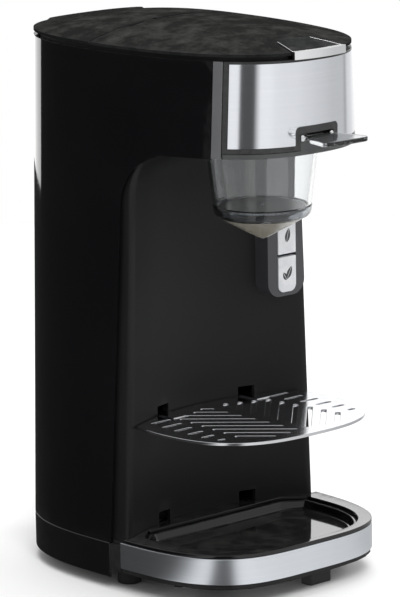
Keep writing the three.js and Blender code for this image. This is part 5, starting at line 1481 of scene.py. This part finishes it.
def make_shelf():
    """Bright slotted cup shelf with two raised hooks that hang in the column."""
    low, high = SHELF_TOP - SHELF_THICK, SHELF_TOP
    shelf = plate("cup_shelf", shelf_outlines(), low, high)
    riser, top = HOOK_FRONT_Y + SHELF_THICK, high + HOOK_RISE
    under, end = top - SHELF_THICK, HOOK_END_Y + SHORT_OVERRUN
    section = [(HOOK_FRONT_Y, low), (riser, low), (riser, under), (HOOK_END_Y, under), (HOOK_END_Y, top)]
    section += offsets(HOOK_FRONT_Y, top, HOOK_BEND)
    rooms, hooks = [], []
    for x in (-HOOK_X, HOOK_X):
        half = HOOK_HALF + SEAT_GAP
        rooms.append(block(x - half, x + half, riser, end, low - SHORT_OVERRUN, high + SHORT_OVERRUN))
        loops = [[(side, y, z) for y, z in section] for side in (x - HOOK_HALF, x + HOOK_HALF)]
        hooks.append(ring_stack("cutter", loops, sharp=35.0))
    carve(shelf, *rooms)
    join(shelf, *hooks)
    place(shelf, "shelf", "shelf steel")


def make_feet():
    """Rubber feet with a rounded rim and a shallow dish underneath."""
    r = FOOT_RADIUS
    profile = [(0, FOOT_DISH)] + offsets(r, 0.0, FOOT_UNDERSIDE)
    profile += [(r, FOOT_HEIGHT - SEAT_GAP), (r - SEAT_GAP, FOOT_HEIGHT), (0, FOOT_HEIGHT)]
    for name, x, y in (("foot", SIDE_FOOT_X, SIDE_FOOT_Y), ("foot_rear", REAR_FOOT_X, REAR_FOOT_Y)):
        for side, word in SIDES:
            place(turned(f"{name}_{word}", profile, side * x, y, 64), "body", "foot rubber")
    x, y = FRONT_FOOT_X, FRONT_FOOT_Y
    wide, deep = FRONT_FOOT_HALVES
    outline = rounded_box(x - wide, x + wide, y - deep, y + deep, [FRONT_FOOT_CORNER] * 4)
    pad = plate("foot_front", [outline], 0.0, FOOT_HEIGHT, 0.5, 3)
    place(pad, "body", "foot rubber")


def make_screw(name, x, y, seat, top, end, axis, edge, crown, look):
    """Cross-head screw. Its seat, the top of its head and its far end are places on its axis."""
    way = 1 if top > seat else -1
    r, shank = SCREW_RADIUS, SCREW_SHANK
    profile = [(0, end), (shank * 0.7, end), (shank, end + way * SCREW_POINT), (shank, seat), (r, seat)]
    profile += [(r, top - way * edge), (r - SCREW_ROUND, top - way * crown), (r * 0.5, top), (0, top)]
    screw = turned(name, profile[::way], x, y, 48, axis=axis)
    low, high = sorted((top - way * CROSS_DEPTH, top + way * SHORT_OVERRUN))
    bars = []
    for wide, tall in ((CROSS_ARM, CROSS_HALF), (CROSS_HALF, CROSS_ARM)):
        if axis == "Y":
            bars.append(block(x - wide, x + wide, low, high, y - tall, y + tall))
        else:
            bars.append(block(x - wide, x + wide, y - tall, y + tall, low, high))
    carve(screw, *bars)
    place(screw, "body", look)


def make_screws():
    """Screws in the back and under the base."""
    seat = rear_face_y(REAR_SCREW_X) - SCREW_HEAD + SEAT_GAP
    top = seat + SCREW_HEAD - 2 * SEAT_GAP
    foot_top, under = FOOT_HEIGHT + SCREW_LENGTH, FOOT_HEIGHT - SCREW_HEAD
    for level, z in (("low", PANEL_Z + REAR_SCREW_MARGIN), ("top", PANEL_TOP - REAR_SCREW_MARGIN)):
        for side, word in SIDES:
            name, x = f"rear_screw_{level}_{word}", side * REAR_SCREW_X
            make_screw(name, x, z, seat, top, seat - SCREW_LENGTH, "Y", 0.35, 0.08, "plain steel")
    for end, x, y in (("front", FRONT_SCREW_X, FRONT_SCREW_Y), ("rear", BACK_SCREW_X, BACK_SCREW_Y)):
        for side, word in SIDES:
            name = f"base_screw_{end}_{word}"
            make_screw(name, side * x, y, FOOT_HEIGHT, under, foot_top, "Z", 0.4, 0.1, "blackened screw")


def make_gland():
    """Ribbed rubber collar where the cord leaves the back."""
    end = rear_face_y(0) - SEAT_GAP
    start = end - GLAND_LENGTH
    r, bore = GLAND_RADIUS, CORD_RADIUS
    profile = [(bore, start), (r - 0.4, start), (r, start + 0.4)]
    for i in range(GLAND_RIBS):
        profile += offsets(r, start + GLAND_RIB_START + GLAND_RIB_PITCH * i, GLAND_GROOVE)
    profile += [(r, end - 0.5), (r - 0.5, end), (bore + 0.6, end), (bore, end - 0.6)]
    place(turned("cord_gland", profile, 0, GLAND_Z, 72, axis="Y"), "body", "foot rubber")


KEPT = {
    "inner black": ("base_chassis", "infuser_housing", "top_deck", "spray_head", "bottom_plate")
    + ("check_valve",),
    "soft black": ("strong_switch", "light_switch"),
    "plain steel": ("heater_bracket", "thermostat", "lid_hinge_pin"),
    "cast aluminium": ("heater_tube",),
    "hose silicone": ("hot_hose", "cold_hose"),
    "frosted tank": ("water_tank",),
    "board green": ("control_board",),
}


def keep_solids():
    """Gives each solid that stays in sight its finish."""
    for look, nodes in KEPT.items():
        for node in nodes:
            for target in bpy.data.objects[node].material_slots:
                target.material = LOOK[look]


keep_solids()
make_side_panel(-1, "left_side_panel")
make_side_panel(1, "right_side_panel")
make_rear_panel()
make_lower_body()
make_drip_tray()
make_column_front()
make_control_strip()
LOW_ROUND = (KEY_CORNER, KEY_CORNER, KEY_SMALL_CORNER, KEY_SMALL_CORNER)
make_key("strong_button", "strong_key", STRONG_Z, LOW_ROUND, STRONG_LEAVES)
make_key("light_button", "light_key", LIGHT_Z, LOW_ROUND[::-1], LIGHT_LEAVES)
make_head_front()
make_drawer()
make_infuser()
make_handle()
make_lid()
make_rear_cover()
make_grip()
make_edge_highlight_beads()
make_shelf()
make_feet()
make_screws()
make_gland()


def stage_mesh(name, points, faces, material, reflected_only=True):
    """A sheet of the stage, in metres."""
    mesh = bpy.data.meshes.new(name)
    mesh.from_pydata(points, [], faces)
    mesh.materials.append(material)
    obj = linked(name, mesh)
    if reflected_only:
        obj.visible_camera = False
        obj.visible_diffuse = False
        obj.visible_transmission = False
        obj.visible_shadow = False
    obj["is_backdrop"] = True


def sweep(name, azimuth0, azimuth1, profile, material, steps=72):
    """Sheet that only gloss sees, swept round the object. Profile points are (radius, height) in metres."""
    points, faces = [], []
    for azimuth in spread(azimuth0, azimuth1, steps):
        angle = math.radians(azimuth)
        points += [(r * math.cos(angle), r * math.sin(angle), z) for r, z in profile]
    count = len(profile)
    for i in range(steps):
        for j in range(count - 1):
            a = i * count + j
            faces.append((a, a + count, a + count + 1, a + 1))
    stage_mesh(name, points, faces, material)


def floor_material():
    """Pale matte paper with a faint tone."""
    tree, shader = start_material("paper floor", Roughness=0.85, Specular_IOR_Level=0.1)
    grain = noise(tree, place_in_object(tree), 40.0, 4.0)
    toned = blend_colour(tree, grain, FLOOR_TONE, tuple(c * 0.995 for c in FLOOR_TONE))
    feed(tree, shader.inputs["Base Color"], toned)
    return LOOK["paper floor"]


def glow_material(name, strength):
    """Even white light. Returns its tree and its light node too."""
    material = bpy.data.materials.new(name)
    material.use_nodes = True
    tree = material.node_tree
    tree.nodes.clear()
    light = add(tree, "ShaderNodeEmission", {"Color": WHITE, "Strength": strength})
    add(tree, "ShaderNodeOutputMaterial", {"Surface": light.outputs[0]})
    return material, tree, light


def surroundings_material():
    """Grey levels of the studio round the object, by direction from its middle."""
    material, tree, light = glow_material("surroundings", 1.0)
    parts = add(tree, "ShaderNodeSeparateXYZ", {0: place_in_object(tree)}).outputs
    turn = maths(tree, "ARCTAN2", parts["Y"], parts["X"])
    whole = maths(tree, "FRACT", maths(tree, "DIVIDE", turn, 2 * math.pi))
    ramp = add(tree, "ShaderNodeValToRGB", {"Fac": whole})
    stops = ramp.color_ramp.elements
    while len(stops) > 1:
        stops.remove(stops[-1])
    for number, (azimuth, level) in enumerate(SURROUNDINGS):
        stop = stops[0] if number == 0 else stops.new(azimuth / 360)
        stop.position = azimuth / 360
        stop.color = (level, level, level, 1.0)
    feed(tree, light.inputs["Color"], ramp.outputs["Color"])
    return material


def lamp(name, spot, target, size, power):
    """Round soft light that reflections leave out."""
    light = bpy.data.lights.new(name, "AREA")
    light.shape = "DISK"
    light.size = size
    light.energy = power
    obj = linked(name, light)
    obj.location = spot
    obj.rotation_euler = (Vector(target) - Vector(spot)).to_track_quat("-Z", "Y").to_euler()
    obj.visible_glossy = False
    obj.visible_camera = False
    obj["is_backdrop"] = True


def make_stage(sides=72):
    """Floor, what the gloss mirrors and the lamps."""
    turns = [2 * math.pi * i / sides for i in range(sides)]
    ring = [(FLOOR_RADIUS * math.cos(turn), FLOOR_RADIUS * math.sin(turn), 0.0) for turn in turns]
    stage_mesh("floor", ring, [tuple(range(sides))], floor_material(), reflected_only=False)
    sweep("surroundings", 0, 360, SURROUNDINGS_PROFILE, surroundings_material(), 180)
    glow = glow_material("bright_backdrop", BACKDROP_GLOW)[0]
    sweep("far_floor", 50, 91, FAR_FLOOR_PROFILE, glow)
    sweep("back_window", 25, 76, BACK_WINDOW_PROFILE, glow)
    for details in LAMPS:
        lamp(*details)


def make_world():
    """White for the view and for reflections, softer as light."""
    world = bpy.data.worlds.new("studio")
    bpy.context.scene.world = world
    world.use_nodes = True
    tree = world.node_tree
    tree.nodes.clear()
    path = tree.nodes.new("ShaderNodeLightPath").outputs
    direct = maths(tree, "ADD", path["Is Camera Ray"], path["Is Transmission Ray"])
    bright = ranged(tree, direct, 0.0, 1.0, WORLD_LIGHT, 1.0)
    strength = maths(tree, "MULTIPLY_ADD", path["Is Glossy Ray"], WORLD_GLOSS - WORLD_LIGHT, bright)
    light = add(tree, "ShaderNodeBackground", {"Color": WHITE, "Strength": strength})
    add(tree, "ShaderNodeOutputWorld", {"Surface": light.outputs[0]})


def make_camera():
    """Long lens from the left front, a little above the object."""
    right = Vector((math.cos(CAMERA_YAW), -math.sin(CAMERA_YAW), 0.0))
    level = math.cos(CAMERA_PITCH)
    forward = Vector((math.sin(CAMERA_YAW) * level, math.cos(CAMERA_YAW) * level, -math.sin(CAMERA_PITCH)))
    upward = right.cross(forward)
    across = right * math.cos(CAMERA_ROLL) + upward * math.sin(CAMERA_ROLL)
    up = -right * math.sin(CAMERA_ROLL) + upward * math.cos(CAMERA_ROLL)
    data = bpy.data.cameras.new("camera")
    data.lens = CAMERA_LENS
    data.sensor_width = SENSOR_WIDTH
    camera = linked("camera", data)
    basis = Matrix((across, up, -forward)).transposed().to_4x4()
    camera.matrix_world = Matrix.Translation(Vector(CAMERA_AT)) @ basis
    bpy.context.scene.camera = camera


make_stage()
make_world()
make_camera()
bpy.context.scene.view_settings.view_transform = "Standard"

{"cad": plain(cad_bounds), "visual": plain(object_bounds())}
